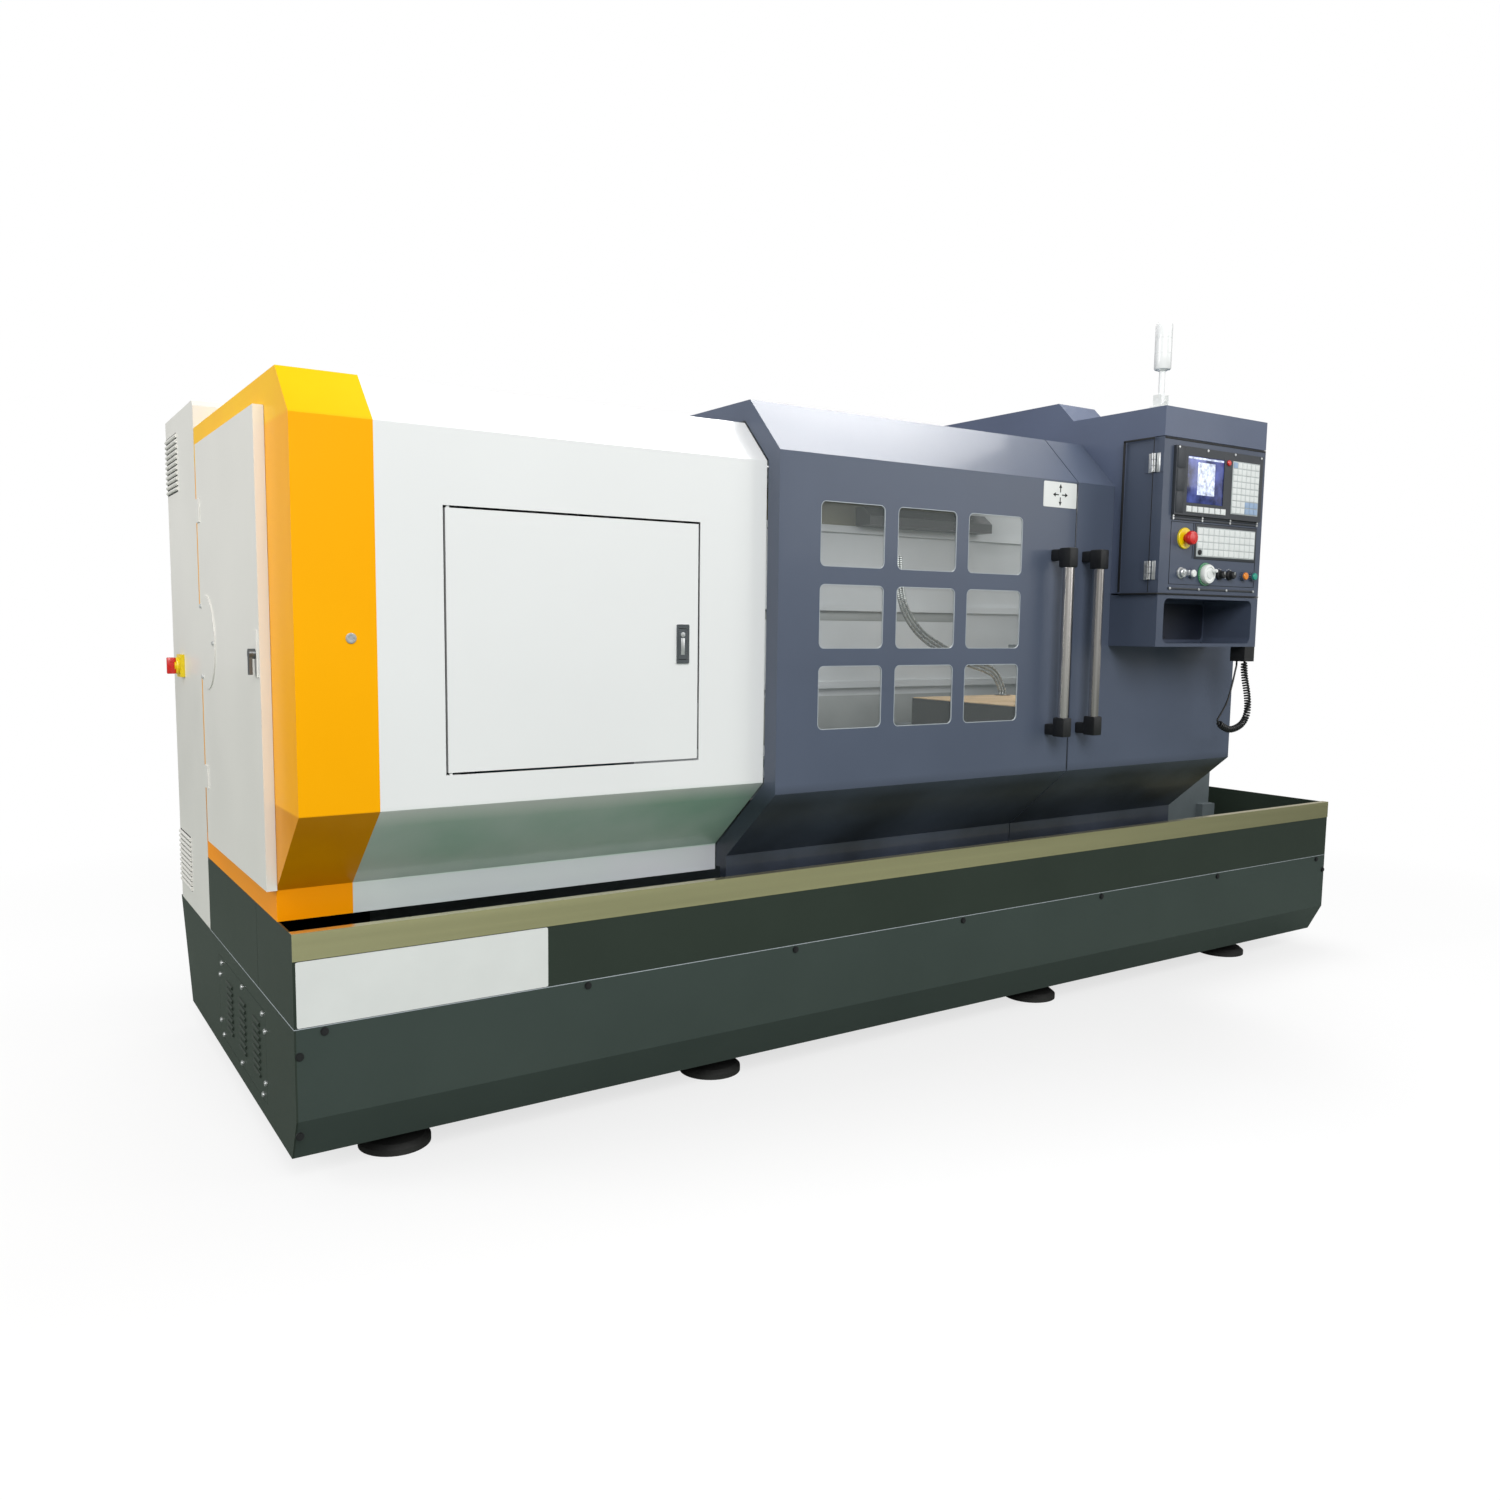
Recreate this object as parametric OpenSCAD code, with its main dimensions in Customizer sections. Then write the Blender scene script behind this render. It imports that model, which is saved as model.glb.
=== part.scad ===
// Enclosed flat-bed turning lathe. X runs along the spindle from the headstock end to the tailstock end,
// the operator stands on the -Y side, and Z is up from the floor. The origin is on the floor, under the
// spindle axis, at the middle of the base.

/* [Base] */
// Length of the base
base_len = 3880; // [3600:10:4400]
// Depth of the base
base_depth = 1480; // [1440:10:1600]
// Height of the base's bottom edge over the floor
foot_h = 70; // [60:1:90]
// Height of the line where the lower skirt starts
seam_z = 374; // [340:1:400]
// Height of the tray rim
rim_z = 580; // [560:1:600]
// Height of the tray floor
tray_z = 440; // [420:1:460]
// Height of the bright trim along the rim
trim_h = 58; // [40:1:80]
// Rise of the bent-in bottom edge of the skirt
bend_h = 100; // [60:1:120]
// Depth of the bent-in bottom edge of the skirt
bend_in = 50; // [30:1:70]
// Lean of the base's back below the seam
back_lean = 150; // [0:5:180]
// Radius of a levelling pad
pad_r = 85; // [60:1:100]
// Number of louvres in each column of the end panel
louvres = 8; // [4:1:10]

/* [Covers] */
// Thickness of the folded sheet
sheet = 3; // [2:0.5:4]
// Length of the end band
band_len = 165; // [120:1:220]
// Length of the headstock cover
cover_len = 971; // [900:1:1100]
// Distance from the base's front to the cover's toe
toe_set = 130; // [110:1:150]
// Overhang of the cover's front past the base's front
front_over = 92; // [70:1:110]
// Height of the cover's toe
toe_h = 70; // [60:1:90]
// Height of the fold between front and chamfer
fold_z = 842; // [820:1:860]
// Height of the eave
eave_z = 1643; // [1620:1:1700]
// Height of the cover's top
cover_z = 1748; // [1740:1:1780]
// Depth of the roof slope
slope_d = 102; // [80:1:120]
// Distance from the cover's skin to the door's skin
door_gap = 55; // [50:1:60]
// Clearance between the left door's end plate and the cover
plate_gap = 6; // [4:1:10]

/* [Doors] */
// Length of the left sliding door
left_door_len = 1070; // [1050:1:1150]
// Length of the right sliding door
right_door_len = 795; // [780:1:900]
// Gap between the two doors
split_gap = 4; // [2:1:8]
// Width of a window
win_w = 210; // [180:1:215]
// Height of a window
win_h = 163; // [140:1:170]
// Distance between window columns
win_pitch_x = 254; // [250:1:270]
// Distance between window rows
win_pitch_z = 207; // [200:1:220]
// Corner radius of a window
win_r = 16; // [8:1:24]
// Thickness of the glazing
glass_t = 6; // [4:1:8]
// Diameter of a door handle's tube
tube_d = 30; // [24:1:36]
// Width of the headstock door
hs_door_w = 626; // [560:1:640]
// Height of the headstock door
hs_door_h = 563; // [500:1:600]
// Width of the end door
end_door_w = 705; // [650:1:720]
// Height of the end door
end_door_h = 1033; // [980:1:1040]
// Thickness of the lay-on doors
door_t = 22; // [18:1:26]

/* [Cabinet] */
// Length of the electrical cabinet
cab_len = 1000; // [900:10:1100]
// Clearance between the bed's back and the cabinet
cab_clear = 25; // [20:1:40]
// Height of the cabinet's top
cab_z = 1824; // [1780:1:1860]

/* [Pendant] */
// Width of the pendant
pend_w = 490; // [480:1:520]
// Distance from the split to the pendant
pend_x = 162; // [150:1:200]
// Distance from the door's front to the panel's face
pend_d = 169; // [165:1:190]
// Height of the hood's underside
hood_z = 1795; // [1790:1:1810]
// Height of the hood
hood_h = 84; // [60:1:90]
// Height of the control panel
panel_h = 446; // [440:1:450]
// Depth of the hinged control panel
panel_t = 30; // [26:1:34]
// Height of the storage box
store_h = 152; // [130:1:160]
// Radius of the signal lamp
lamp_r = 24; // [20:1:30]
// Height of the signal lamp
lamp_h = 132; // [100:1:140]

/* [Drive] */
// Height of the spindle axis
spindle_z = 1180; // [1170:1:1190]
// Height of the bed ways
way_z = 770; // [760:1:780]
// Distance from the spindle axis to the bed's front
bed_half = 293; // [280:1:300]
// Distance from the spindle axis to the bed's back
bed_back = 212; // [195:1:215]
// Distance from the bed's right end to the base's right end
bed_end = 112; // [100:1:200]
// Radius of the chuck
chuck_r = 200; // [160:1:205]
// Thickness of the chuck
chuck_t = 130; // [110:1:140]
// Radius of the spindle bore
bore_r = 52; // [40:1:60]
// Place of the carriage as a share of the way from the chuck to the tailstock
carriage_at = 0.6905; // [0.66:0.0005:0.7]
// Length of the saddle
saddle_len = 540; // [520:1:560]
// Distance from the middle of the tailstock to the bed's right end
tail_at = 330; // [310:1:360]
// Radius of the tailstock quill
quill_r = 60; // [50:1:65]
// Radius of the tailstock handwheel
wheel_r = 130; // [110:1:140]

/* [Hidden] */
$fn = 48;
x_left = -base_len / 2;
x_right = base_len / 2;
y_front = -base_depth / 2;
y_back = base_depth / 2;
run_gap = 0.4;
fit_gap = 0.05;
wall = 4;
x_band = x_left + band_len;
x_cover = x_band + cover_len;
x_split = x_cover + left_door_len;
x_end = x_split + right_door_len;
y_cab = bed_back + cab_clear;
y_cover_back = y_cab - sheet;
y_toe = y_front + toe_set;
y_face = y_front - front_over;
toe_z = rim_z + toe_h;
// The cover's closed outline in Y and Z, from the front of its bottom edge round by the back
cover_outline = [
    [y_toe, rim_z],
    [y_cover_back, rim_z],
    [y_cover_back, cover_z],
    [y_face + slope_d, cover_z],
    [y_face, eave_z],
    [y_face, fold_z],
    [y_toe, toe_z]
];
grown = inset(cover_outline, -door_gap);
roof_z = grown[3][1];
y_door = grown[4][0];
y_door_toe = grown[6][0];
roof_back = y_cover_back - 16;
door_toe_z = rim_z - 20;
shoe_len = 120;
shoe_w = 30;
// The doors' folded line from the back of the roof down to the turned-in toe
door_line = [
    [roof_back, roof_z],
    grown[3],
    grown[4],
    grown[5],
    grown[6],
    [y_door_toe, door_toe_z],
    [y_door_toe + shoe_w + 5, door_toe_z]
];
rail_t = 8;
y_rail = y_door_toe + sheet + shoe_w / 2;
rail_top = door_toe_z - 15;
y_top_rail = roof_back - 25;
guard_z = roof_z - 50;
y_guard = y_cab + 130;
rail_under = 12;
win_x = x_cover + 128;
win_z = fold_z + 133;
hs_door_x = x_band + 148;
hs_door_z = fold_z + 73;
hs_gap = 5;
hs_pan = 20;
pivot_in = 8;
pivot_r = 4;
end_door_y = y_toe - 12;
end_door_z = toe_z + 2;
knuckle_r = 7;
knuckle_h = 60;
end_axis_y = end_door_y + end_door_w + knuckle_r + 3;
end_axis_x = x_left - 10;
foot_x = [x_left + 263, x_left + 1154, x_right - 1445, x_right - 386];
foot_y = base_depth / 2 - 175;
rear_foot_y = foot_y - 40;
beam_w = 120;
beam_h = 60;
beam_z = foot_h + 5;
pend_x0 = x_split + pend_x;
pend_x1 = pend_x0 + pend_w;
y_panel = y_door - pend_d;
y_box = y_panel + panel_t + run_gap;
panel_z0 = hood_z - 2 - panel_h;
box_d = 103;
store_z = panel_z0 - 5 - store_h;
duct_w = 166;
duct_rise = 62;
// Places on the control panel, from its left bottom corner
row_z = panel_z0 + 60;
stop_at = [108, 161];
dial_at = 216;
dial_r = 28;
knob_at = [283, 333];
knob_r = 14;
button_at = [148, 405, 452];
button_r = 11;
key_at = 98;
press = 5;
stem_r = 7;
stop_stem_r = 11;
headstock_x0 = x_band + 120;
headstock_x1 = x_cover - 60;
spindle_r = 95;
nose_x = x_cover + 15;
chuck_x1 = nose_x + chuck_t;
bed_right = x_right - bed_end;
tail_x = bed_right - tail_at;
carriage_x = chuck_x1 + carriage_at * (tail_x - chuck_x1);
saddle_x0 = carriage_x - saddle_len / 2;
saddle_x1 = carriage_x + saddle_len / 2;
pulley_r = 140;
motor_pulley_r = 80;
motor_y = -470;
motor_z = way_z + 200;
motor_x0 = headstock_x0 + 180;
motor_x1 = motor_x0 + 400;
vee_y = -240;
vee_half = 25;
shelf_z = way_z + vee_half + 31;
motor_shaft_r = 20;
rim_t = 5;
rim_h = 8;
pulley_w = 50;
pulley_x = headstock_x0 - 75;
screw_r = 25;
screw_y = -bed_half - 60;
screw_z = 690;
// The bed's way line, from the front edge to the back edge
way_line = [
    [-bed_half, way_z],
    [vee_y - vee_half, way_z],
    [vee_y, way_z + vee_half],
    [vee_y + vee_half, way_z],
    [-180, way_z]
];
saddle_z = way_z + 95;
ridge_h = 20;
slide_z = saddle_z + 102;
turret_y = -320;
turret_half = 85;
tool_h = 25;
cord_r = 9;
lead_r = 3;
// Hand-chosen points of the curly cord and of the straight lead
curly_route = [[892, -1040, 1144], [892, -1040, 1120], [897, -1042, 1085], [906, -1044, 1050],
    [913, -1045, 1012], [909, -1046, 976], [888, -1047, 950], [856, -1047, 936], [824, -1046, 932],
    [794, -1045, 940], [767, -1044, 955]];
lead_route = [[767, -1044, 955], [790, -1042, 985], [812, -1039, 1015], [832, -1035, 1045],
    [850, -1031, 1080], [866, -1027, 1115], [872, -1026, 1130], [872, -1026, 1144]];
cord_box_w = 50;
cord_box_h = 46;
sides = 10;

function unit(v) = v / norm(v);
function left_normal(a, b) = [-unit(b - a)[1], unit(b - a)[0]];
function mitre(b, n1, n2, t) = b + t / (1 + n1 * n2) * (n1 + n2);
// Moves each side of a closed outline inwards by t
function inset(p, t) = [for (i = [0:len(p) - 1])
    let (a = p[(i + len(p) - 1) % len(p)], c = p[(i + 1) % len(p)])
    mitre(p[i], left_normal(a, p[i]), left_normal(p[i], c), t)];
// Moves an open line to its left by t
function beside(p, t) = [for (i = [0:len(p) - 1])
    let (j = max(i, 1), k = min(i, len(p) - 2))
    mitre(p[i], left_normal(p[j - 1], p[j]), left_normal(p[k], p[k + 1]), t)];
function backwards(p) = [for (i = [len(p) - 1:-1:0]) p[i]];
// Outline of a folded sheet whose outer skin follows the line p
function folded(p, t) = concat(p, backwards(beside(p, t)));
function lifted(p, h) = [for (q = p) q + [0, h]];

// A prism along X with its outline in Y and Z
module along_x(x0, x1, outline) {
    translate([x0, 0, 0])
        rotate([90, 0, 90])
            linear_extrude(x1 - x0)
                polygon(outline);
}
module block(x0, x1, y0, y1, z0, z1) {
    translate([x0, y0, z0])
        cube([x1 - x0, y1 - y0, z1 - z0]);
}
module rod_x(x0, x1, y, z, r) {
    translate([x0, y, z])
        rotate([0, 90, 0])
            cylinder(h = x1 - x0, r = r);
}
module rod_y(x, y0, y1, z, r) {
    translate([x, y1, z])
        rotate([90, 0, 0])
            cylinder(h = y1 - y0, r = r);
}
module rod_z(x, y, z0, z1, r) {
    translate([x, y, z0])
        cylinder(h = z1 - z0, r = r);
}
// A plate with round corners, its lower left corner at x and z, cut through Y
module rounded_y(x, z, w, h, r, y0, y1) {
    translate([x, y1, z])
        rotate([90, 0, 0])
            linear_extrude(y1 - y0)
                rounded(w, h, r);
}
module rounded(w, h, r) {
    translate([r, 0])
        square([w - 2 * r, h]);
    translate([0, r])
        square([w, h - 2 * r]);
    for (x = [r, w - r], z = [r, h - r])
        translate([x, z])
            circle(r);
}
// A tube along points, its rings square to the route
module swept(points, r) {
    last = len(points) - 1;
    rings = [for (i = [0:last])
        let (d = unit(points[min(i + 1, last)] - points[max(i - 1, 0)]))
        let (u = unit(cross([0, 1, 0], d)))
        let (v = cross(d, u))
        for (k = [0:sides - 1])
            points[i] + r * (cos(360 * k / sides) * u + sin(360 * k / sides) * v)];
    skin = [for (i = [0:last - 1], k = [0:sides - 1])
        [i * sides + k, (i + 1) * sides + k, (i + 1) * sides + (k + 1) % sides, i * sides + (k + 1) % sides]];
    polyhedron(rings, concat(skin, [[for (k = [0:sides - 1]) k]],
        [[for (k = [sides - 1:-1:0]) last * sides + k]]));
}

module levelling_feet() {
    stem_r = 14;
    nut_r = 36;
    rim = 14;
    color("#141414")
        for (x = foot_x, y = [-foot_y, rear_foot_y])
            translate([x, y, 0])
                rotate_extrude()
                    polygon([[0, 0], [pad_r, 0], [pad_r, rim], [pad_r - 12, rim + 10], [nut_r, rim + 22],
                        [nut_r, rim + 36], [stem_r, rim + 36], [stem_r, beam_z], [0, beam_z]]);
}

// The base's end outline; the left end steps down under the cabinet
function end_outline(step) = concat(
    [[y_front, rim_z], [y_front, foot_h + bend_h], [y_front + bend_in, foot_h],
        [y_back - back_lean, foot_h], [y_back, seam_z]],
    step ? [[y_cab, seam_z], [y_cab, rim_z]] : [[y_back, rim_z]]);
// A weldment of plates, each standing against its neighbours at a weld seam
module base_frame() {
    lap = 40;
    rail_in = 50;
    rib_half = 10;
    seam_y = -391;
    x0 = x_left + wall + fit_gap;
    x1 = x_right - wall - fit_gap;
    x_cab = x_left + cab_len;
    pan_back = y_back - 2 * sheet;
    tray_back = y_back - sheet - fit_gap;
    tray_step = [x_cab + sheet + fit_gap, y_cab - sheet - fit_gap];
    rib_z = beam_z + beam_h + fit_gap;
    rib_top = tray_z - wall - fit_gap;
    back_line = [[y_back - back_lean, foot_h], [y_back, seam_z]];
    color("#3a4543") {
        difference() {
            along_x(x_left, x_left + wall, end_outline(true));
            block(x_left - 1, x_left + 1, seam_y, seam_y + 2, seam_z, rim_z);
            end_panel_cut();
        }
        along_x(x_right - wall, x_right, end_outline(false));
        block(x0, x1, y_front, y_front + sheet, seam_z, rim_z);
        block(x0, x1, y_front + sheet, y_front + 2 * sheet, seam_z - lap, seam_z + lap);
        along_x(x0, x1, folded(back_line, sheet));
        block(x_cab, x1, y_back - sheet, y_back, seam_z + sheet / 2, rim_z);
        union() {
            block(x0, x_cab + sheet, y_cab - sheet, pan_back, seam_z - wall, seam_z);
            block(x0, x_cab + sheet, y_cab - sheet, y_cab, seam_z - wall, rim_z);
            block(x_cab, x_cab + sheet, y_cab - sheet, pan_back, seam_z - wall, rim_z);
        }
        translate([0, 0, tray_z - wall])
            linear_extrude(wall)
                polygon([[x0, y_front + sheet + fit_gap], [x1, y_front + sheet + fit_gap], [x1, tray_back],
                    [tray_step[0], tray_back], tray_step, [x0, tray_step[1]]]);
        for (y = [-foot_y, rear_foot_y])
            block(x0, x1, y - beam_w / 2, y + beam_w / 2, beam_z, beam_z + beam_h);
        for (x = foot_x)
            union() {
                block(x - rib_half, x + rib_half, -foot_y - beam_w / 2, rear_foot_y + beam_w / 2, rib_z,
                    x < x_cab ? seam_z - wall - fit_gap : rib_top);
                block(x - rib_half, x + rib_half, -foot_y - beam_w / 2, tray_step[1], rib_z, rib_top);
            }
        block(x_left + rail_in, x_right - rail_in, y_rail - rail_t / 2, y_rail + rail_t / 2, tray_z + fit_gap,
            rail_top);
    }
}
end_panel = [-455, 110, 575, 222];
module end_panel_cut() {
    inner = 25;
    block(x_left - 1, x_left + wall + 1, end_panel[0] + inner, end_panel[0] + end_panel[2] - inner,
        end_panel[1] + inner, end_panel[1] + end_panel[3] - inner);
    block(x_left - 1, x_left + sheet, end_panel[0] - 1, end_panel[0] + end_panel[2] + 1, end_panel[1] - 1,
        end_panel[1] + end_panel[3] + 1);
}
module end_vent_panel() {
    louvre_w = 75;
    louvre_y = [-353, -189, -25];
    louvre_z = 150;
    pitch = 18;
    slot = 7;
    color("#3a4543")
        difference() {
            block(x_left, x_left + sheet, end_panel[0], end_panel[0] + end_panel[2], end_panel[1],
                end_panel[1] + end_panel[3]);
            for (y = louvre_y, i = [0:louvres - 1])
                block(x_left - 1, x_left + sheet + 1, y - louvre_w / 2, y + louvre_w / 2,
                    louvre_z + i * pitch, louvre_z + i * pitch + slot);
        }
}
module front_skirt() {
    lip = 35;
    color("#3f4a48")
        along_x(x_left + wall, x_right - wall, folded([[y_front, seam_z], [y_front, foot_h + bend_h],
            [y_front + bend_in, foot_h], [y_front + bend_in + lip, foot_h]], sheet));
}
module trim_band() {
    bright = 2;
    lip = 22;
    lip_h = 16;
    color("#b9b08a")
        union() {
            along_x(x_left, x_right, folded([[y_front + lip, rim_z + bright],
                [y_front - bright, rim_z + bright], [y_front - bright, rim_z - trim_h]], bright));
            block(x_left + wall, x_right - wall, y_front + lip - bright, y_front + lip, rim_z - lip_h,
                rim_z + bright / 2);
        }
}
windows = 5;
window_pitch = (bed_right - x_cover) / 6.58;
module machine_bed() {
    rib_w = 80;
    way_w = 90;
    core_top = way_z - 90;
    color("#6d7478")
        difference() {
            union() {
                along_x(headstock_x0, bed_right, concat(way_line, [[-180, core_top],
                    [bed_back - way_w, core_top], [bed_back - way_w, way_z], [bed_back, way_z],
                    [bed_back, tray_z], [-bed_half, tray_z]]));
                for (x = [headstock_x0, bed_right - rib_w])
                    block(x, x + rib_w, -bed_half - 30, bed_back, tray_z, tray_z + 90);
            }
            for (i = [1:windows])
                block(x_cover + (i - 0.4) * window_pitch, x_cover + (i + 0.2) * window_pitch, -bed_half - 1,
                    bed_back + 1, tray_z + 60, core_top - 70);
        }
}
module headstock() {
    neck_r = 170;
    half_w = 260;
    cast_top = spindle_z + 210;
    color("#c9cdca")
        difference() {
            union() {
                along_x(headstock_x0, headstock_x1, [[-half_w, way_z + vee_half + 1],
                    [bed_back, way_z + vee_half + 1], [bed_back, spindle_z + 120], [bed_back - 90, cast_top],
                    [90 - half_w, cast_top], [-half_w, spindle_z + 120]]);
                rod_x(headstock_x1, x_cover - 25, 0, spindle_z, neck_r);
                block(headstock_x0, headstock_x1, bed_back - 80, bed_back, way_z, way_z + vee_half + 1);
                block(headstock_x0, headstock_x1, -205, -185, way_z, way_z + vee_half + 1);
                block(motor_x0 + 20, motor_x1 - 20, motor_y - 130, -half_w, way_z + vee_half + 1, shelf_z);
            }
            rod_x(headstock_x0 - 1, x_cover, 0, spindle_z, spindle_r + fit_gap);
        }
}
module spindle() {
    flange_t = 30;
    color("#b8bcc0")
        difference() {
            union() {
                rod_x(pulley_x - 40, nose_x - flange_t, 0, spindle_z, spindle_r);
                rod_x(nose_x - flange_t, nose_x, 0, spindle_z, spindle_r + 50);
                belt_pulley(0, spindle_z, pulley_r);
            }
            rod_x(pulley_x - 41, nose_x + 1, 0, spindle_z, bore_r);
        }
}
jaw_w = 46;
jaw_t = 60;
jaw_in = 70;
jaw_out = chuck_r - 12;
jaw_guide = 22;
module chuck_body() {
    color("#8f9498")
        difference() {
            rod_x(nose_x, chuck_x1, 0, spindle_z, chuck_r);
            rod_x(nose_x - 1, chuck_x1 + 1, 0, spindle_z, bore_r);
            for (a = [0:120:240])
                translate([0, 0, spindle_z])
                    rotate([a, 0, 0])
                        block(chuck_x1 - jaw_guide - run_gap, chuck_x1 + 1, -jaw_w / 2 - run_gap,
                            jaw_w / 2 + run_gap, bore_r - 5, chuck_r + 1);
        }
}
module chuck_jaw(a) {
    step = 40;
    color("#a7abae")
        translate([0, 0, spindle_z])
            rotate([a, 0, 0])
                union() {
                    block(chuck_x1 - jaw_guide, chuck_x1 + 20, -jaw_w / 2, jaw_w / 2, jaw_in, jaw_out);
                    block(chuck_x1 + 20, chuck_x1 + jaw_t, -jaw_w / 2, jaw_w / 2, jaw_in, jaw_out - step);
                }
}
module chuck_jaw_a() {
    chuck_jaw(0);
}
module chuck_jaw_b() {
    chuck_jaw(120);
}
module chuck_jaw_c() {
    chuck_jaw(240);
}
module spindle_motor() {
    body_r = 120;
    fin = [340, 6, 10];
    sleeve_r = 30;
    color("#3d5a6c")
        difference() {
            union() {
                rod_x(motor_x0, motor_x1, motor_y, motor_z, body_r);
                for (a = [0:15:345])
                    translate([motor_x0 + 30, motor_y, motor_z])
                        rotate([a, 0, 0])
                            block(0, fin[0], -fin[1] / 2, fin[1] / 2, body_r - 5, body_r + fin[2]);
                block(motor_x0 + 20, motor_x1 - 20, motor_y - body_r + 10, motor_y + body_r - 10, shelf_z,
                    motor_z - 60);
                rod_x(pulley_x + pulley_w + 8, motor_x0, motor_y, motor_z, sleeve_r);
            }
            rod_x(pulley_x, motor_x0 - 20, motor_y, motor_z, motor_shaft_r + fit_gap);
        }
}
module motor_pulley() {
    color("#8b8f92")
        union() {
            belt_pulley(motor_y, motor_z, motor_pulley_r);
            rod_x(pulley_x + pulley_w, motor_x0 - 22, motor_y, motor_z, motor_shaft_r);
        }
}
// A flanged pulley under the belt's line of radius r
module belt_pulley(y, z, r) {
    rod_x(pulley_x, pulley_x + pulley_w, y, z, r - 3);
    for (x = [pulley_x, pulley_x + pulley_w - rim_t])
        rod_x(x, x + rim_t, y, z, r + rim_h);
}
module drive_belt() {
    belt_t = 5;
    inside = run_gap - 3;
    side = rim_t + run_gap;
    color("#1c1c1c")
        translate([pulley_x + side, 0, 0])
            rotate([90, 0, 90])
                linear_extrude(pulley_w - 2 * side)
                    difference() {
                        belt_loop(inside + belt_t);
                        belt_loop(inside);
                    }
}
module belt_loop(grow) {
    hull() {
        translate([0, spindle_z])
            circle(pulley_r + grow, $fn = 72);
        translate([motor_y, motor_z])
            circle(motor_pulley_r + grow, $fn = 72);
    }
}
servo_x = x_cover - 200;
servo_half = 65;
bracket_w = 40;
screw_past = 250;
screw_end = saddle_x1 + screw_past;
module z_ball_screw() {
    color("#b4b8bb")
        union() {
            rod_x(servo_x, screw_end, screw_y, screw_z, screw_r);
            rod_x(servo_x - bracket_w - 50, servo_x, screw_y, screw_z, screw_r - 6);
        }
}
module z_servo_motor() {
    length = 150;
    x0 = servo_x - bracket_w - run_gap;
    color("#2b2d2f")
        difference() {
            union() {
                block(x0, x0 + bracket_w, screw_y - servo_half, -bed_half, screw_z - servo_half,
                    screw_z + servo_half);
                block(x0 - length, x0, screw_y - servo_half, screw_y + servo_half - 8, screw_z - servo_half,
                    screw_z + servo_half);
                block(screw_end - bracket_w, screw_end, screw_y - 50, -bed_half, screw_z - 50, screw_z + 50);
            }
            rod_x(x0 - 51, servo_x, screw_y, screw_z, screw_r - 6 + fit_gap);
            rod_x(screw_end - bracket_w - 1, screw_end + 1, screw_y, screw_z, screw_r + fit_gap);
        }
}
saddle_back = bed_back + 40;
apron_y = -430;
ridge_half = 80;
module saddle() {
    apron_z = way_z - 160;
    keep = 7;
    color("#4d555b")
        difference() {
            union() {
                along_x(saddle_x0, saddle_x1, concat(
                    [[apron_y, apron_z], [-bed_half - keep, apron_z]],
                    [[-bed_half - keep, way_z + run_gap]],
                    lifted([for (i = [1:4]) way_line[i]], run_gap),
                    [[saddle_back, way_z + run_gap], [saddle_back, saddle_z], [apron_y, saddle_z]]));
                block(carriage_x - ridge_half, carriage_x + ridge_half, apron_y, saddle_back, saddle_z,
                    saddle_z + ridge_h);
            }
            rod_x(saddle_x0 - 1, saddle_x1 + 1, screw_y, screw_z, screw_r + fit_gap);
        }
}
slide_y0 = -420;
slide_y1 = 157;
slide_half = 250;
module cross_slide() {
    color("#3b4146")
        difference() {
            union() {
                block(carriage_x - slide_half, carriage_x + slide_half, slide_y0, slide_y1,
                    saddle_z + run_gap, slide_z);
                block(hose_x - hose_foot, hose_x + hose_foot, hose_y - hose_foot, hose_y + hose_foot,
                    slide_z - 1, slide_z + hose_up);
            }
            block(carriage_x - ridge_half - run_gap, carriage_x + ridge_half + run_gap, slide_y0 - 1,
                slide_y1 + 1, saddle_z, saddle_z + ridge_h + run_gap);
        }
}
turret_z0 = slide_z + run_gap;
turret_z1 = spindle_z - 90;
turret_z2 = spindle_z + 70;
module tool_turret() {
    slot_d = 32;
    tool_len = 130;
    color("#2f3438")
        union() {
            rod_z(carriage_x, turret_y, turret_z0, turret_z1, turret_half - 10);
            difference() {
                block(carriage_x - turret_half, carriage_x + turret_half, turret_y - turret_half,
                    turret_y + turret_half, turret_z1, turret_z2);
                for (a = [0:90:270])
                    translate([carriage_x, turret_y, spindle_z - tool_h])
                        rotate([0, 0, a])
                            block(-turret_half - 1, turret_half + 1, turret_half - slot_d, turret_half + 1, 0,
                                tool_h + 2);
            }
            for (a = [0:90:270])
                translate([carriage_x, turret_y, spindle_z - tool_h])
                    rotate([0, 0, a])
                        block(-tool_len + 20, tool_len + 20, turret_half - slot_d,
                            turret_half - slot_d + tool_h, 0, tool_h);
            rod_z(carriage_x, turret_y, turret_z2, turret_z2 + 45, 38);
        }
}
hose_r = 11;
hose_foot = 22;
hose_up = 6;
hose_x = carriage_x + 190;
hose_y = 110;
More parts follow.
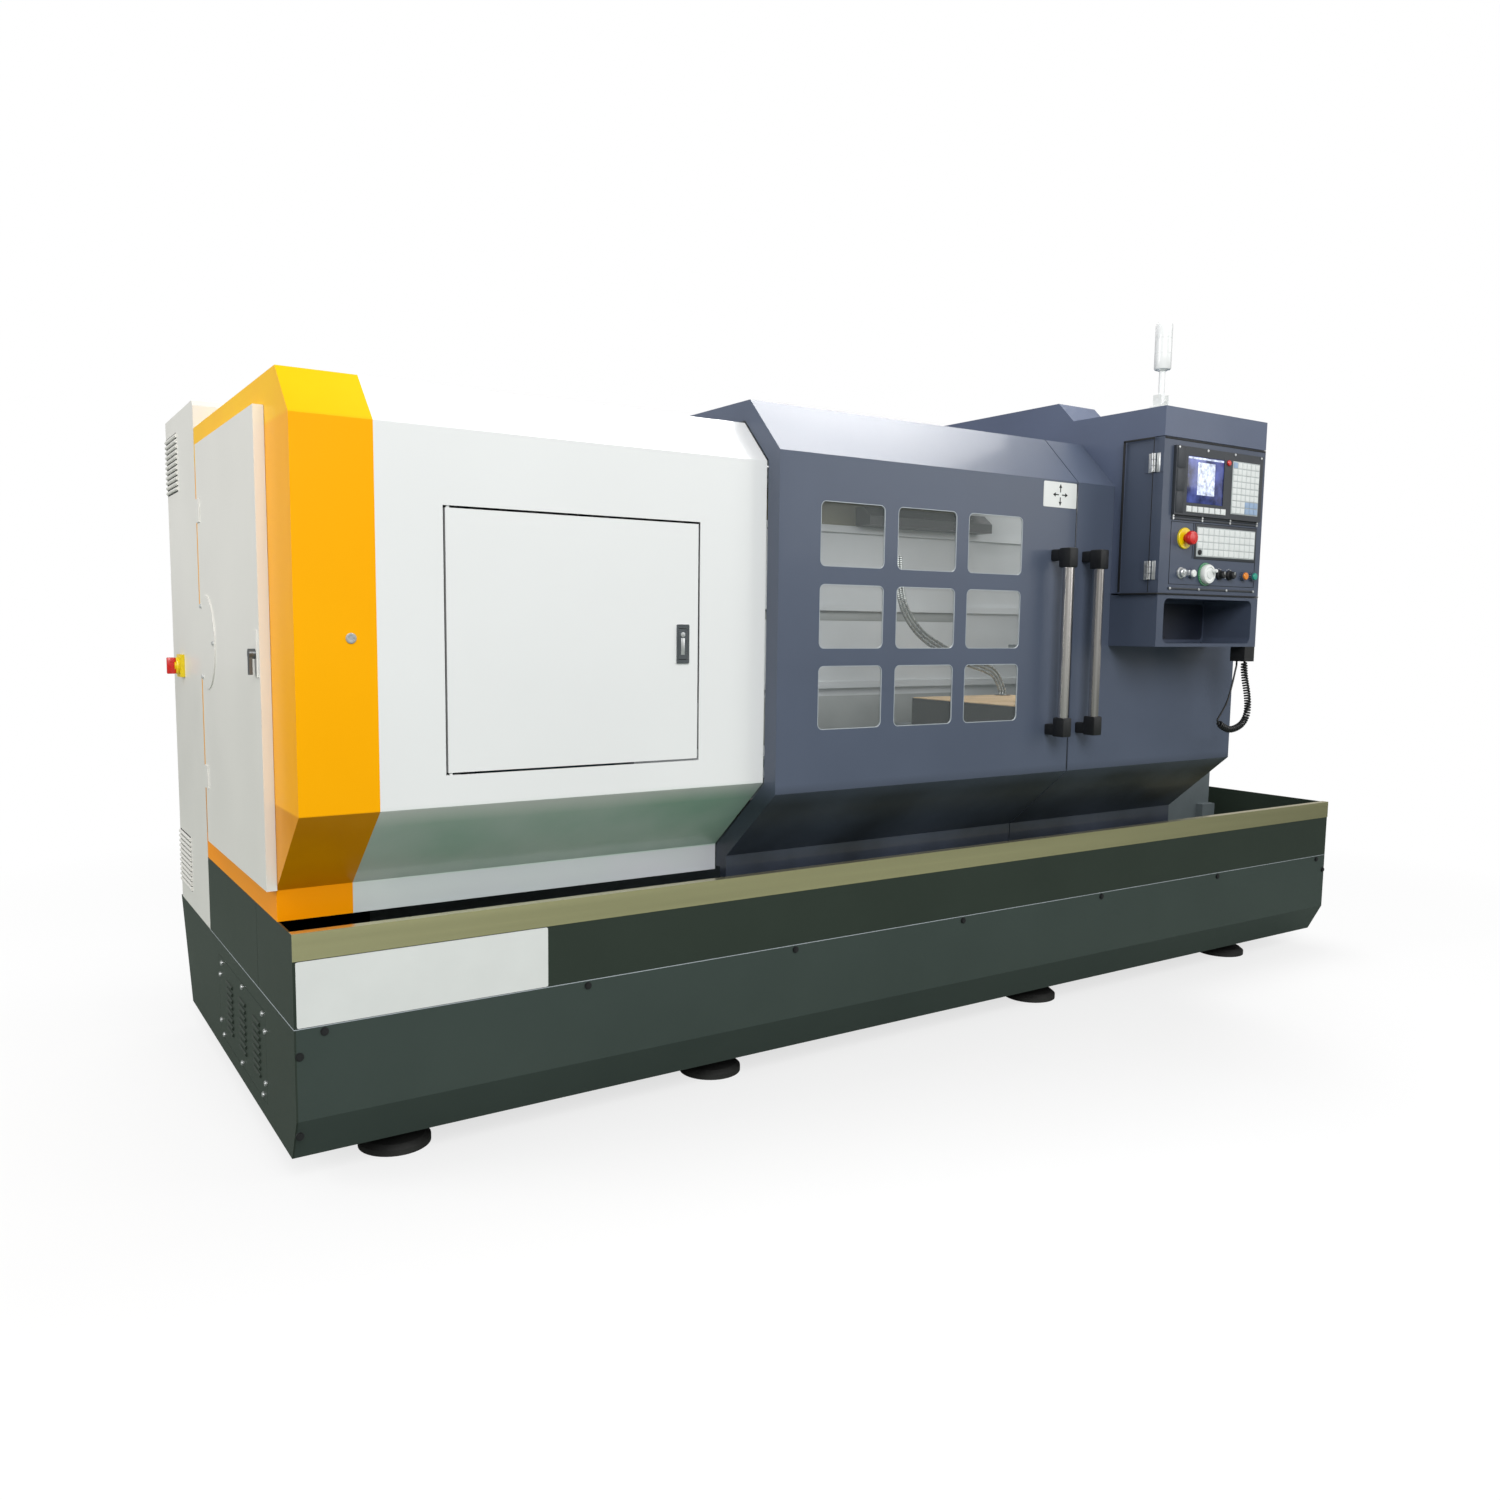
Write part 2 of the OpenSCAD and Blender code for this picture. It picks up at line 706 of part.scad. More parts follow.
// Hand-chosen points of the bendable coolant pipe, from its foot
hose_route = [[0, 0, 0], [0, 0, 14], [-11, 0, 36], [-29, 0, 66], [-50, 0, 87], [-80, 0, 102],
    [-130, 0, 117], [-178, 0, 129], [-261, 0, 155], [-341, 0, 187], [-425, 0, 228], [-490, 0, 280],
    [-536, 0, 343], [-560, 0, 422], [-569, 0, 478], [-573, 0, 530]];
module coolant_hose() {
    color("#a9adb0")
        translate([hose_x, hose_y, slide_z + hose_up])
            swept(hose_route, hose_r);
}
tail_half = 170;
tail_x0 = tail_x - tail_half;
tail_x1 = tail_x + tail_half;
module tailstock() {
    barrel_r = 100;
    color("#8d9498")
        difference() {
            union() {
                along_x(tail_x0, tail_x1, concat(lifted(way_line, run_gap), [[bed_back, way_z + run_gap],
                    [bed_back, way_z + 70], [110, spindle_z - 120], [110, spindle_z],
                    [-110, spindle_z], [-110, spindle_z - 120], [-bed_half, way_z + 70]]));
                rod_x(tail_x0 - 60, tail_x1 + 40, 0, spindle_z, barrel_r);
            }
            rod_x(tail_x0 - 61, tail_x1 + 20, 0, spindle_z, quill_r + fit_gap);
            rod_x(tail_x1 + 19, tail_x1 + 41, 0, spindle_z, 20 + fit_gap);
        }
}
module tailstock_quill() {
    color("#c3c7ca")
        union() {
            rod_x(tail_x0 - 120, tail_x1 - 40, 0, spindle_z, quill_r);
            translate([tail_x0 - 120, 0, spindle_z])
                rotate([0, -90, 0])
                    cylinder(h = 25, r = 34);
            translate([tail_x0 - 145, 0, spindle_z])
                rotate([0, -90, 0])
                    cylinder(h = 50, r1 = 29, r2 = 1);
        }
}
module tailstock_handwheel() {
    grip_r = 9;
    rim_x = tail_x1 + 70;
    color("#3a3d40")
        union() {
            rod_x(tail_x1 + 22, tail_x1 + 41, 0, spindle_z, 20);
            rod_x(tail_x1 + 41, rim_x + 15, 0, spindle_z, 30);
            translate([rim_x, 0, spindle_z])
                rotate([0, 90, 0])
                    rotate_extrude()
                        translate([wheel_r, 0])
                            circle(12);
            for (a = [0:120:240])
                translate([rim_x, 0, spindle_z])
                    rotate([a, 0, 0])
                        cylinder(h = wheel_r - 4, r = 9);
            rod_x(rim_x, rim_x + 80, 0, spindle_z + wheel_r, grip_r);
        }
}

// The guard's sheet with its ribs and foot between two places on X
module guard_sheet(x0, x1) {
    rib = [26, 14];
    foot = 60;
    block(x0, x1, y_guard, y_guard + sheet, tray_z, guard_z);
    for (z = guard_ribs)
        block(x0, x1, y_guard - rib[1], y_guard, z, z + rib[0]);
    block(x0, x1, y_guard + sheet, y_guard + foot, tray_z, tray_z + sheet);
}
module rear_guard() {
    x1 = x_end - 2 * sheet;
    guard_end = bed_right - 60;
    rail_in = 20;
    color("#d5d8d6") {
        union() {
            guard_sheet(x_cover + sheet, x1);
            block(x_cover + sheet, x1, y_top_rail - 25, y_guard + sheet, guard_z - sheet, guard_z);
            block(x_cover + rail_in, x_end - rail_in, y_top_rail - rail_t / 2, y_top_rail + rail_t / 2,
                guard_z, roof_z - rail_under);
        }
        union() {
            guard_sheet(x1 + fit_gap, guard_end);
            block(x1 + fit_gap, guard_end, y_guard - 40, y_guard + sheet, guard_z - sheet, guard_z);
        }
    }
}
guard_ribs = [for (i = [0:3]) tray_z + 260 + i * 300];
module work_light() {
    x0 = x_split + 185;
    length = 650;
    z0 = guard_ribs[3] + 28;
    high = 72;
    deep = 90;
    color("#2b2d2f")
        along_x(x0, x0 + length, [[y_guard, z0], [y_guard, z0 + high], [y_guard - deep / 2, z0 + high],
            [y_guard - deep, z0 + high / 2], [y_guard - deep, z0]]);
}

module headstock_cover() {
    inner = inset(cover_outline, sheet);
    hole_r = chuck_r + 20;
    flange = 30;
    bed_slack = 6;
    color("#f2f3f3")
        difference() {
            union() {
                difference() {
                    along_x(x_band, x_cover, cover_outline);
                    along_x(x_band - 1, x_cover - sheet, opened(inner, rim_z - 1));
                }
                for (z = [hs_door_z - hs_gap - 16, hs_door_z + hs_door_h + hs_gap])
                    block(hs_door_x - 10, hs_door_x + 30, y_face + sheet / 2, y_face + sheet + 24, z, z + 16);
            }
            block(hs_door_x - hs_gap, hs_door_x + hs_door_w + hs_gap, y_face - 1, y_face + sheet + 1,
                hs_door_z - hs_gap, hs_door_z + hs_door_h + hs_gap);
            rod_x(x_cover - sheet - 1, x_cover + 1, 0, spindle_z, hole_r);
            block(x_cover - sheet - 1, x_cover + 1, y_toe + flange, bed_back + bed_slack, rim_z - 1,
                way_z + 260);
            rod_z(hs_door_x + pivot_in, y_face + pivot_in, hs_door_z - 40, hs_door_z + hs_door_h + 40,
                pivot_r + fit_gap);
        }
}
function opened(p, z) = concat([[p[0][0], z], [p[1][0], z]], [for (i = [2:len(p) - 1]) p[i]]);
module headstock_door() {
    depth = hs_pan;
    bezel = [34, 92, 4];
    color("#f2f3f3")
        difference() {
            union() {
                block(hs_door_x, hs_door_x + hs_door_w, y_face, y_face + depth, hs_door_z,
                    hs_door_z + hs_door_h);
                rod_z(hs_door_x + pivot_in, y_face + pivot_in, hs_door_z - hs_gap - 14,
                    hs_door_z + hs_door_h + hs_gap + 14, pivot_r);
                block(hs_latch_x - bezel[0] / 2, hs_latch_x + bezel[0] / 2, y_face - bezel[2], y_face,
                    hs_latch_z - bezel[1] / 2, hs_latch_z + bezel[1] / 2);
            }
            block(hs_door_x + 2 * pivot_in, hs_door_x + hs_door_w - sheet, y_face + sheet,
                y_face + depth + 1, hs_door_z + sheet, hs_door_z + hs_door_h - sheet);
            block(hs_latch_x - 13, hs_latch_x + 13, y_face - bezel[2] - 1, y_face + sheet + 1,
                hs_latch_z - 38, hs_latch_z + 38);
        }
}
hs_latch_x = hs_door_x + hs_door_w - 44;
hs_latch_z = hs_door_z + 277;
module headstock_latch() {
    color("#6f7478")
        union() {
            block(hs_latch_x - 12, hs_latch_x + 12, y_face - 4, y_face + 1, hs_latch_z - 36, hs_latch_z + 36);
            rod_x(hs_latch_x - 12.7, hs_latch_x + 12.7, y_face - 1, hs_latch_z + 34, 3);
        }
}
module end_band() {
    inner = inset(cover_outline, sheet);
    frame_w = 20;
    color("#f4ae1c")
        difference() {
            along_x(x_left, x_band, cover_outline);
            along_x(x_left + sheet, x_band + 1, opened(inner, rim_z - 1));
            block(x_left - 1, x_left + sheet + 1, end_door_y + frame_w, end_door_y + end_door_w - frame_w,
                end_door_z + frame_w, end_door_z + end_door_h - frame_w);
        }
}
module end_door_hinges() {
    color("#c4c7c9")
        for (z = end_hinge_z)
            union() {
                rod_z(end_axis_x, end_axis_y, z, z + knuckle_h, knuckle_r);
                block(end_axis_x, x_left, end_axis_y - 2, end_axis_y + 2, z, z + knuckle_h);
                block(x_left - 3, x_left, end_axis_y, end_axis_y + 45, z, z + knuckle_h);
            }
}
module end_door() {
    x_out = x_left - run_gap - door_t;
    disc_r = 120;
    color("#e9e8e4")
        difference() {
            union() {
                block(x_out, x_left - run_gap, end_door_y, end_door_y + end_door_w, end_door_z,
                    end_door_z + end_door_h);
                intersection() {
                    rod_x(x_out - sheet, x_out + 1, 0, spindle_z, disc_r);
                    block(x_out - sheet, x_out + 1, -disc_r, end_door_y + end_door_w - sheet,
                        spindle_z - disc_r, spindle_z + disc_r);
                }
                for (z = end_hinge_z)
                    block(x_out - 3, x_out, end_door_y + end_door_w - 42, end_door_y + end_door_w, z,
                        z + knuckle_h);
                block(x_out - 3, x_out, end_door_y + 16, end_door_y + 46, end_latch_z - 50, end_latch_z + 50);
            }
            block(x_out + sheet, x_left + 1, end_door_y + sheet, end_door_y + end_door_w - sheet,
                end_door_z + sheet, end_door_z + end_door_h - sheet);
        }
}
end_latch_z = end_door_z + 514;
end_hinge_z = [end_door_z + 145, end_door_z + end_door_h - 199];
module end_door_latch() {
    x_out = x_left - run_gap - door_t - 3;
    y = end_door_y + 31;
    color("#4a4d50")
        union() {
            rod_x(x_out - 14, x_out - run_gap, y, end_latch_z, 11);
            block(x_out - 14, x_out - 7, y - 8, y + 8, end_latch_z - 45, end_latch_z);
        }
}

cab_axis = [x_left + cab_len - 7, y_back - 6];
cab_hinge_z = [seam_z + 150, cab_z - 310];
cab_knuckle = 80;
cab_hinge_r = 6;
// A wrap of bottom, front and top, two side panels, and hinge knuckles at the back right edge
module electrical_cabinet() {
    edge = 15;
    flange = 35;
    x1 = x_left + cab_len;
    y1 = y_back - door_t - run_gap;
    outline = [[y_cab, seam_z], [y1, seam_z], [y1, cab_z], [y_cab + edge, cab_z], [y_cab, cab_z - edge]];
    wrap = [[y1, cab_z], [y_cab + edge, cab_z], [y_cab, cab_z - edge], [y_cab, seam_z], [y1, seam_z]];
    rise = sheet + fit_gap;
    vent_y = y_back - 220;
    vent_w = 190;
    pitch = 15;
    slot = 6;
    color("#dedcd6") {
        along_x(x_left + rise, x1 - rise, folded(wrap, sheet));
        for (z = [seam_z + rise, cab_z - flange])
            block(x_left + flange + fit_gap, x1 - flange - fit_gap, y1 - sheet, y1, z, z + flange - rise);
        difference() {
            union() {
                along_x(x_left, x_left + sheet, outline);
                block(x_left, x_left + flange, y1 - sheet, y1, seam_z + rise, cab_z - rise);
            }
            for (z = [seam_z + 51, cab_z - 217], i = [0:10])
                block(x_left - 1, x_left + sheet + 1, vent_y, vent_y + vent_w, z + i * pitch,
                    z + i * pitch + slot);
        }
        union() {
            along_x(x1 - sheet, x1, outline);
            block(x1 - flange, x1, y1 - sheet, y1, seam_z + rise, cab_z - rise);
            for (z = cab_hinge_z) {
                rod_z(cab_axis[0], cab_axis[1], z + cab_knuckle + run_gap, z + 2 * cab_knuckle, cab_hinge_r);
                block(cab_axis[0] - 2, cab_axis[0] + 2, y1 - 1, cab_axis[1], z + cab_knuckle + run_gap,
                    z + 2 * cab_knuckle);
            }
        }
    }
}
module cabinet_door() {
    edge = 14;
    x0 = x_left + edge;
    x1 = x_left + cab_len - edge;
    y0 = y_back - door_t;
    color("#dedcd6")
        union() {
            difference() {
                block(x0, x1, y0, y_back, seam_z + edge, cab_z - edge);
                block(x0 + sheet, x1 - sheet, y0 - 1, y_back - sheet, seam_z + edge + sheet,
                    cab_z - edge - sheet);
            }
            for (z = cab_hinge_z) {
                rod_z(cab_axis[0], cab_axis[1], z, z + cab_knuckle, cab_hinge_r);
                block(x1 - 1, cab_axis[0], cab_axis[1] - 2, cab_axis[1] + 2, z, z + cab_knuckle);
            }
        }
}
switch_y = y_back - 192;
switch_z = seam_z + 728;
module main_switch_plate() {
    half = 33;
    color("#f2c411")
        difference() {
            block(x_left - 12, x_left, switch_y - half, switch_y + half, switch_z - half, switch_z + half);
            rod_x(x_left - 13, x_left - 6, switch_y, switch_z, 9 + fit_gap);
        }
}
module main_switch_handle() {
    color("#c8201c")
        union() {
            rod_x(x_left - 20, x_left - 12 - run_gap, switch_y, switch_z, 25);
            rod_x(x_left - 12 - run_gap, x_left - 7, switch_y, switch_z, 9);
            block(x_left - 44, x_left - 20, switch_y - 6, switch_y + 6, switch_z - 24, switch_z + 24);
        }
}

// A door's roof, front and apron panels between two places on X, with its guide shoes
module door_skin(x0, x1, shoe_x) {
    shoe_in = 60;
    seam = 2 * fit_gap;
    difference() {
        union() {
            along_x(x0, x1, folded(door_line, sheet));
            for (x = [x0 + shoe_in, x1 - shoe_in - shoe_len])
                block(x, x + shoe_len, y_rail - shoe_w / 2, y_rail + shoe_w / 2, rail_top - 30, door_toe_z);
            block(shoe_x, shoe_x + shoe_len, y_top_rail - 20, y_top_rail + 20, roof_z - 40, roof_z - sheet);
        }
        for (z = [grown[4][1], grown[5][1]])
            block(x0 - 1, x1 + 1, y_door - 1, y_door + 2 * sheet, z - seam / 2, z + seam / 2);
        block(x0 - 1, x1 + 1, y_rail - rail_t / 2 - run_gap, y_rail + rail_t / 2 + run_gap, rail_top - 31,
            rail_top + run_gap);
        block(shoe_x - 1, shoe_x + shoe_len + 1, y_top_rail - rail_t / 2 - run_gap,
            y_top_rail + rail_t / 2 + run_gap, roof_z - 41, roof_z - rail_under + run_gap);
    }
}
// An end plate between a door's skin and an outline grown from the cover
module door_end(x0, x1, gap) {
    skin = inset(cover_outline, -door_gap);
    hole = inset(cover_outline, -gap);
    difference() {
        along_x(x0, x1, concat([[y_door_toe, door_toe_z], [y_door_toe + shoe_w, door_toe_z],
            [y_door_toe + shoe_w, door_toe_z + 30], [roof_back, door_toe_z + 30], [roof_back, roof_z]],
            [for (i = [3:6]) skin[i]]));
        along_x(x0 - 1, x1 + 1, concat([[hole[0][0], door_toe_z - 1], [roof_back + 1, door_toe_z - 1],
            [roof_back + 1, hole[2][1]]], [for (i = [3:6]) hole[i]]));
    }
}
module left_door() {
    color("#58606c")
        difference() {
            union() {
                door_skin(x_cover + sheet + fit_gap, x_split - split_gap / 2, x_split - 130);
                door_end(x_cover, x_cover + sheet, plate_gap);
            }
            for (i = [0:2], j = [0:2])
                rounded_y(win_x + i * win_pitch_x, win_z + j * win_pitch_z, win_w, win_h, win_r, y_door - 1,
                    y_door + sheet + 1);
        }
}
module door_glazing() {
    lap = 22;
    color("#cfdde0", 0.35)
        block(win_x - lap, win_x + 2 * win_pitch_x + win_w + lap, y_door + sheet, y_door + sheet + glass_t,
            win_z - lap, win_z + 2 * win_pitch_z + win_h + lap);
}
handle_out = 55;
handle_z = [fold_z + 113, eave_z - 201];
module door_handle(x) {
    foot = [35, 75, 56];
    color("#c9c2b6")
        rod_z(x, y_door - handle_out, handle_z[0] + foot[2] / 2, handle_z[1] - foot[2] / 2, tube_d / 2);
    color("#17181a")
        for (z = handle_z)
            block(x - foot[0] / 2, x + foot[0] / 2, y_door - foot[1], y_door, z - foot[2] / 2,
                z + foot[2] / 2);
}
module left_handle() {
    door_handle(x_split - 91);
}
module right_handle() {
    door_handle(x_split + 41);
}
module right_door() {
    color("#545c66")
        union() {
            door_skin(x_split + split_gap / 2, x_end - sheet - fit_gap, x_split + 20);
            door_end(x_end - sheet, x_end, plate_gap);
        }
}

casing_back = y_front + 21;
module pendant_casing() {
    y_seat = y_box + box_d;
    top = hood_z + hood_h;
    duct_top = top + duct_rise;
    duct_end = -100;
    skin = [grown[4], grown[3], [casing_back, roof_z], [casing_back, top], [y_panel, top], [y_panel, hood_z],
        [y_seat, hood_z], [y_seat, panel_z0], [y_door, panel_z0]];
    door_side = [[casing_back - sheet, roof_z], grown[3], grown[4], [y_door, panel_z0 + sheet]];
    color("#5d6570") {
        difference() {
            along_x(pend_x0, pend_x1, skin);
            along_x(pend_x0 + sheet, pend_x1 - sheet, inset(skin, sheet));
            along_x(pend_x0 + sheet, pend_x1 - sheet, folded(beside(door_side, 1), -sheet - 2));
        }
        difference() {
            along_x(pend_x0, pend_x0 + duct_w, [[casing_back, roof_z], [duct_end, roof_z],
                [duct_end, duct_top], [casing_back + duct_rise, duct_top], [casing_back, top]]);
            along_x(pend_x0 + sheet, pend_x0 + duct_w - sheet, [[casing_back + sheet, roof_z - 1],
                [duct_end - sheet, roof_z - 1], [duct_end - sheet, duct_top - sheet],
                [casing_back + duct_rise + 1, duct_top - sheet], [casing_back + sheet, top]]);
        }
    }
}
axis_x = pend_x0 - 7;
hinge_r = 6;
hinge_h = 54;
leaf_t = 2;
leaf_w = 31;
panel_hinge_z = [panel_z0 + 38, panel_z0 + 346];
module control_box() {
    color("#545b66")
        union() {
            difference() {
                block(pend_x0, pend_x1, y_box, y_box + box_d, panel_z0, hood_z - 2);
                block(pend_x0 + sheet, pend_x1 - sheet, y_box - 1, y_box + box_d - sheet, panel_z0 + sheet,
                    hood_z - 2 - sheet);
            }
            for (z = panel_hinge_z) {
                rod_z(axis_x, y_box, z, z + hinge_h, hinge_r);
                block(axis_x, pend_x0, y_box + 1, y_box + 1 + leaf_t, z, z + hinge_h);
                block(pend_x0 - leaf_t, pend_x0, y_box + 1, y_box + leaf_w, z, z + hinge_h);
            }
        }
}
module control_panel() {
    stop_ring = [30, 6];
    bezel = [button_r + 3.5, 9];
    color("#4a515b")
        difference() {
            union() {
                difference() {
                    block(pend_x0, pend_x1, y_panel, y_panel + panel_t, panel_z0, hood_z - 2);
                    block(pend_x0 + sheet, pend_x1 - sheet, y_panel + sheet, y_panel + panel_t + 1,
                        panel_z0 + sheet, hood_z - 2 - sheet);
                }
                rod_y(pend_x0 + stop_at[0], y_panel - stop_ring[1], y_panel, panel_z0 + stop_at[1],
                    stop_ring[0]);
                for (x = button_at)
                    difference() {
                        rod_y(pend_x0 + x, y_panel - bezel[1], y_panel, row_z, bezel[0]);
                        rod_y(pend_x0 + x, y_panel - bezel[1] - 1, y_panel, row_z, button_r + run_gap);
                    }
                for (z = panel_hinge_z)
                    block(pend_x0 - leaf_t, pend_x0, y_box - leaf_w, y_box - hinge_r - 1, z, z + hinge_h);
            }
            for (x = concat(knob_at, button_at, [key_at, dial_at]))
                rod_y(pend_x0 + x, y_panel - 1, y_panel + sheet + 1, row_z, stem_r + fit_gap);
            rod_y(pend_x0 + stop_at[0], y_panel - stop_ring[1] - 1, y_panel + sheet + 1,
                panel_z0 + stop_at[1], stop_stem_r + fit_gap);
        }
}
module display_unit() {
    x0 = pend_x0 + 43;
    z0 = panel_z0 + 227;
    size = [423, 197];
    color("#23262a")
        difference() {
            block(x0, x0 + size[0], y_panel - 10, y_panel, z0, z0 + size[1]);
            block(x0 + 55, x0 + 229, y_panel - 11, y_panel - 7, z0 + 37, z0 + 172);
        }
}
module emergency_stop() {
    x = pend_x0 + stop_at[0];
    z = panel_z0 + stop_at[1];
    color("#d11f1b")
        union() {
            rod_y(x, y_panel - 36, y_panel - 18, z, 20);
            rod_y(x, y_panel - 18, y_panel + 12, z, stop_stem_r);
        }
}
module turned_knob(at, r, h) {
    union() {
        rod_y(pend_x0 + at, y_panel - h, y_panel - run_gap, row_z, r);
        rod_y(pend_x0 + at, y_panel - run_gap, y_panel + 12, row_z, stem_r);
    }
}
module hand_dial() {
    color("#e8ece6")
        turned_knob(dial_at, dial_r, 20);
}
module knob_left() {
    color("#1b1c1e")
        turned_knob(knob_at[0], knob_r, 22);
}
module knob_right() {
    color("#1b1c1e")
        turned_knob(knob_at[1], knob_r, 22);
}
module key_switch() {
    color("#d7dadb") {
        union() {
            turned_knob(key_at, 13, 10);
            block(pend_x0 + key_at - 2, pend_x0 + key_at + 2, y_panel - 30, y_panel - 10, row_z - 9,
                row_z + 9);
        }
    }
}
module push_button(at) {
    union() {
        rod_y(pend_x0 + at, y_panel - 14, y_panel - press - 2, row_z, button_r);
        rod_y(pend_x0 + at, y_panel - press - 2, y_panel + 14, row_z, stem_r);
    }
}
module button_white() {
    color("#eceeec")
        push_button(button_at[0]);
}
module button_orange() {
    color("#e8801f")
        push_button(button_at[1]);
}
module button_teal() {
    color("#1f9a84")
        push_button(button_at[2]);
}
module storage_box() {
    niche_w = 428;
    niche_h = 132;
    side = (pend_w - niche_w) / 2;
    color("#565e69")
        difference() {
            block(pend_x0, pend_x1, y_panel, y_door, store_z, store_z + store_h);
            rounded_y(pend_x0 + side, store_z + 10, niche_w, niche_h, 20, y_panel - 1, y_door - sheet);
        }
}
module cord_box() {
    color("#1a1b1d")
        block(pend_x1 - cord_box_w - 2, pend_x1 - 2, y_panel, y_panel + cord_box_w, store_z - cord_box_h,
            store_z);
}
module curly_cord() {
    color("#121314")
        swept(curly_route, cord_r);
}
module straight_lead() {
    color("#121314")
        swept(lead_route, lead_r);
}
tower_x = pend_x0 + 34;
tower_y = y_panel + 46;
tower_z = hood_z + hood_h;
module tower_bracket() {
    cheek = 4;
    color("#d9dbdc")
        difference() {
            union() {
                block(tower_x - 24, tower_x + 24, tower_y - 20, tower_y + 20, tower_z, tower_z + 5);
                for (x = [-18, 18 - cheek])
                    block(tower_x + x, tower_x + x + cheek, tower_y - 14, tower_y + 14, tower_z + 5,
                        tower_z + 38);
            }
            rod_x(tower_x - 30, tower_x + 30, tower_y, tower_z + 24, 5 + fit_gap);
        }
}
module signal_lamp() {
    pole_r = 9;
    pole_top = tower_z + 110;
    round_r = 8;
    color("#f1f3f3")
        union() {
            rod_x(tower_x - 18, tower_x + 18, tower_y, tower_z + 24, 5);
            rod_z(tower_x, tower_y, tower_z + 14, pole_top, pole_r);
            translate([tower_x, tower_y, pole_top])
                rotate_extrude()
                    polygon([[0, 0], [lamp_r - 2, 0], [lamp_r, 3], [lamp_r, lamp_h - round_r],
                        [lamp_r - 2, lamp_h - 3], [lamp_r - round_r, lamp_h], [0, lamp_h]]);
        }
}

levelling_feet();
base_frame();
end_vent_panel();
front_skirt();
trim_band();
machine_bed();
headstock();
spindle();
chuck_body();
chuck_jaw_a();
chuck_jaw_b();
chuck_jaw_c();
spindle_motor();
motor_pulley();
drive_belt();
z_ball_screw();
z_servo_motor();
saddle();
cross_slide();
tool_turret();
coolant_hose();
tailstock();
tailstock_quill();
tailstock_handwheel();
rear_guard();
work_light();
headstock_cover();
headstock_door();
headstock_latch();
end_band();
end_door_hinges();
end_door();
end_door_latch();
electrical_cabinet();
cabinet_door();
main_switch_plate();
main_switch_handle();
left_door();
door_glazing();
left_handle();
right_door();
right_handle();
pendant_casing();
control_box();
control_panel();
display_unit();
emergency_stop();
hand_dial();
knob_left();
knob_right();
key_switch();
button_white();
button_orange();
button_teal();
storage_box();
cord_box();
curly_cord();
straight_lead();
tower_bracket();
signal_lamp();
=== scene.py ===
import math
import bmesh
import bpy
from mathutils import Euler, Matrix, Vector


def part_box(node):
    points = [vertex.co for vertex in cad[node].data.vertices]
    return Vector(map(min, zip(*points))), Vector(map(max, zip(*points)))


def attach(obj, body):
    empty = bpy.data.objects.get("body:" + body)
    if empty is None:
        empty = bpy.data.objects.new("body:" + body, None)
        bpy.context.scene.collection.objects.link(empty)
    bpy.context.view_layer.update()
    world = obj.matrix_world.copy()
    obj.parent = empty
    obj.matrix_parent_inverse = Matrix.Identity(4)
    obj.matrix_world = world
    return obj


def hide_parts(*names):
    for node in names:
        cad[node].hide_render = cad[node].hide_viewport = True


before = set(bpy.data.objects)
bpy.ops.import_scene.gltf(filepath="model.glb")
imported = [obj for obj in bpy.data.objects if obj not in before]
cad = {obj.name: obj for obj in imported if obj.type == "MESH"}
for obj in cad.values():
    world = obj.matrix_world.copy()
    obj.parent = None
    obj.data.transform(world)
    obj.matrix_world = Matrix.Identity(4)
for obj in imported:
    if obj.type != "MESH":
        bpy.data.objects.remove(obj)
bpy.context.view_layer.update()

scene = bpy.context.scene
scene.view_settings.view_transform = "Standard"
mm = 0.001

# camera at the photograph's place, worked out for a 1500 x 1500 frame
view = {"place": (-2.50201, -3.27561, 1.23679), "yaw": 0.58166, "pitch": 0.10302, "roll": 0.0113,
        "focal": 1181.805, "centre": (733.118, 748.115), "frame": 1500, "sensor": 36, "reach": 100}


def makeCamera(v):
    lens = bpy.data.cameras.new("photoCamera")
    lens.sensor_width = v["sensor"]
    lens.lens = v["focal"] / v["frame"] * v["sensor"]
    lens.shift_x = (v["frame"] / 2 - v["centre"][0]) / v["frame"]
    lens.shift_y = (v["centre"][1] - v["frame"] / 2) / v["frame"]
    lens.clip_end = v["reach"]
    cam = bpy.data.objects.new("photoCamera", lens)
    scene.collection.objects.link(cam)
    level = math.cos(v["pitch"])
    forward = Vector((math.sin(v["yaw"]) * level, math.cos(v["yaw"]) * level, -math.sin(v["pitch"])))
    right = Vector((math.cos(v["yaw"]), -math.sin(v["yaw"]), 0))
    up = right.cross(forward)
    tilted = right * math.cos(v["roll"]) + up * math.sin(v["roll"])
    upright = up * math.cos(v["roll"]) - right * math.sin(v["roll"])
    turn = Matrix((tilted, upright, -forward)).transposed()
    cam.matrix_world = Matrix.Translation(v["place"]) @ turn.to_4x4()
    scene.camera = cam


makeCamera(view)
print("camera set")


# nodes: each socket takes a value or a link from another node's output
def addNode(tree, kind, sockets=None, **settings):
    node = tree.nodes.new(kind)
    for key, value in settings.items():
        setattr(node, key, value)
    feed(tree, node, sockets or {})
    return node


def feed(tree, node, sockets):
    for key, value in sockets.items():
        if isinstance(value, bpy.types.NodeSocket):
            tree.links.new(value, node.inputs[key])
        else:
            node.inputs[key].default_value = value


def linear(text):
    values = [int(text[i:i + 2], 16) / 255 for i in (1, 3, 5)]
    return tuple(v / 12.92 if v <= 0.04045 else ((v + 0.055) / 1.055) ** 2.4 for v in values)


surface = {"ramp": (0.3, 0.7), "cloudDetail": 5, "grainDetail": 3, "grainDepth": 0.002, "coatRough": 0.08,
           "leastRough": 0.02}


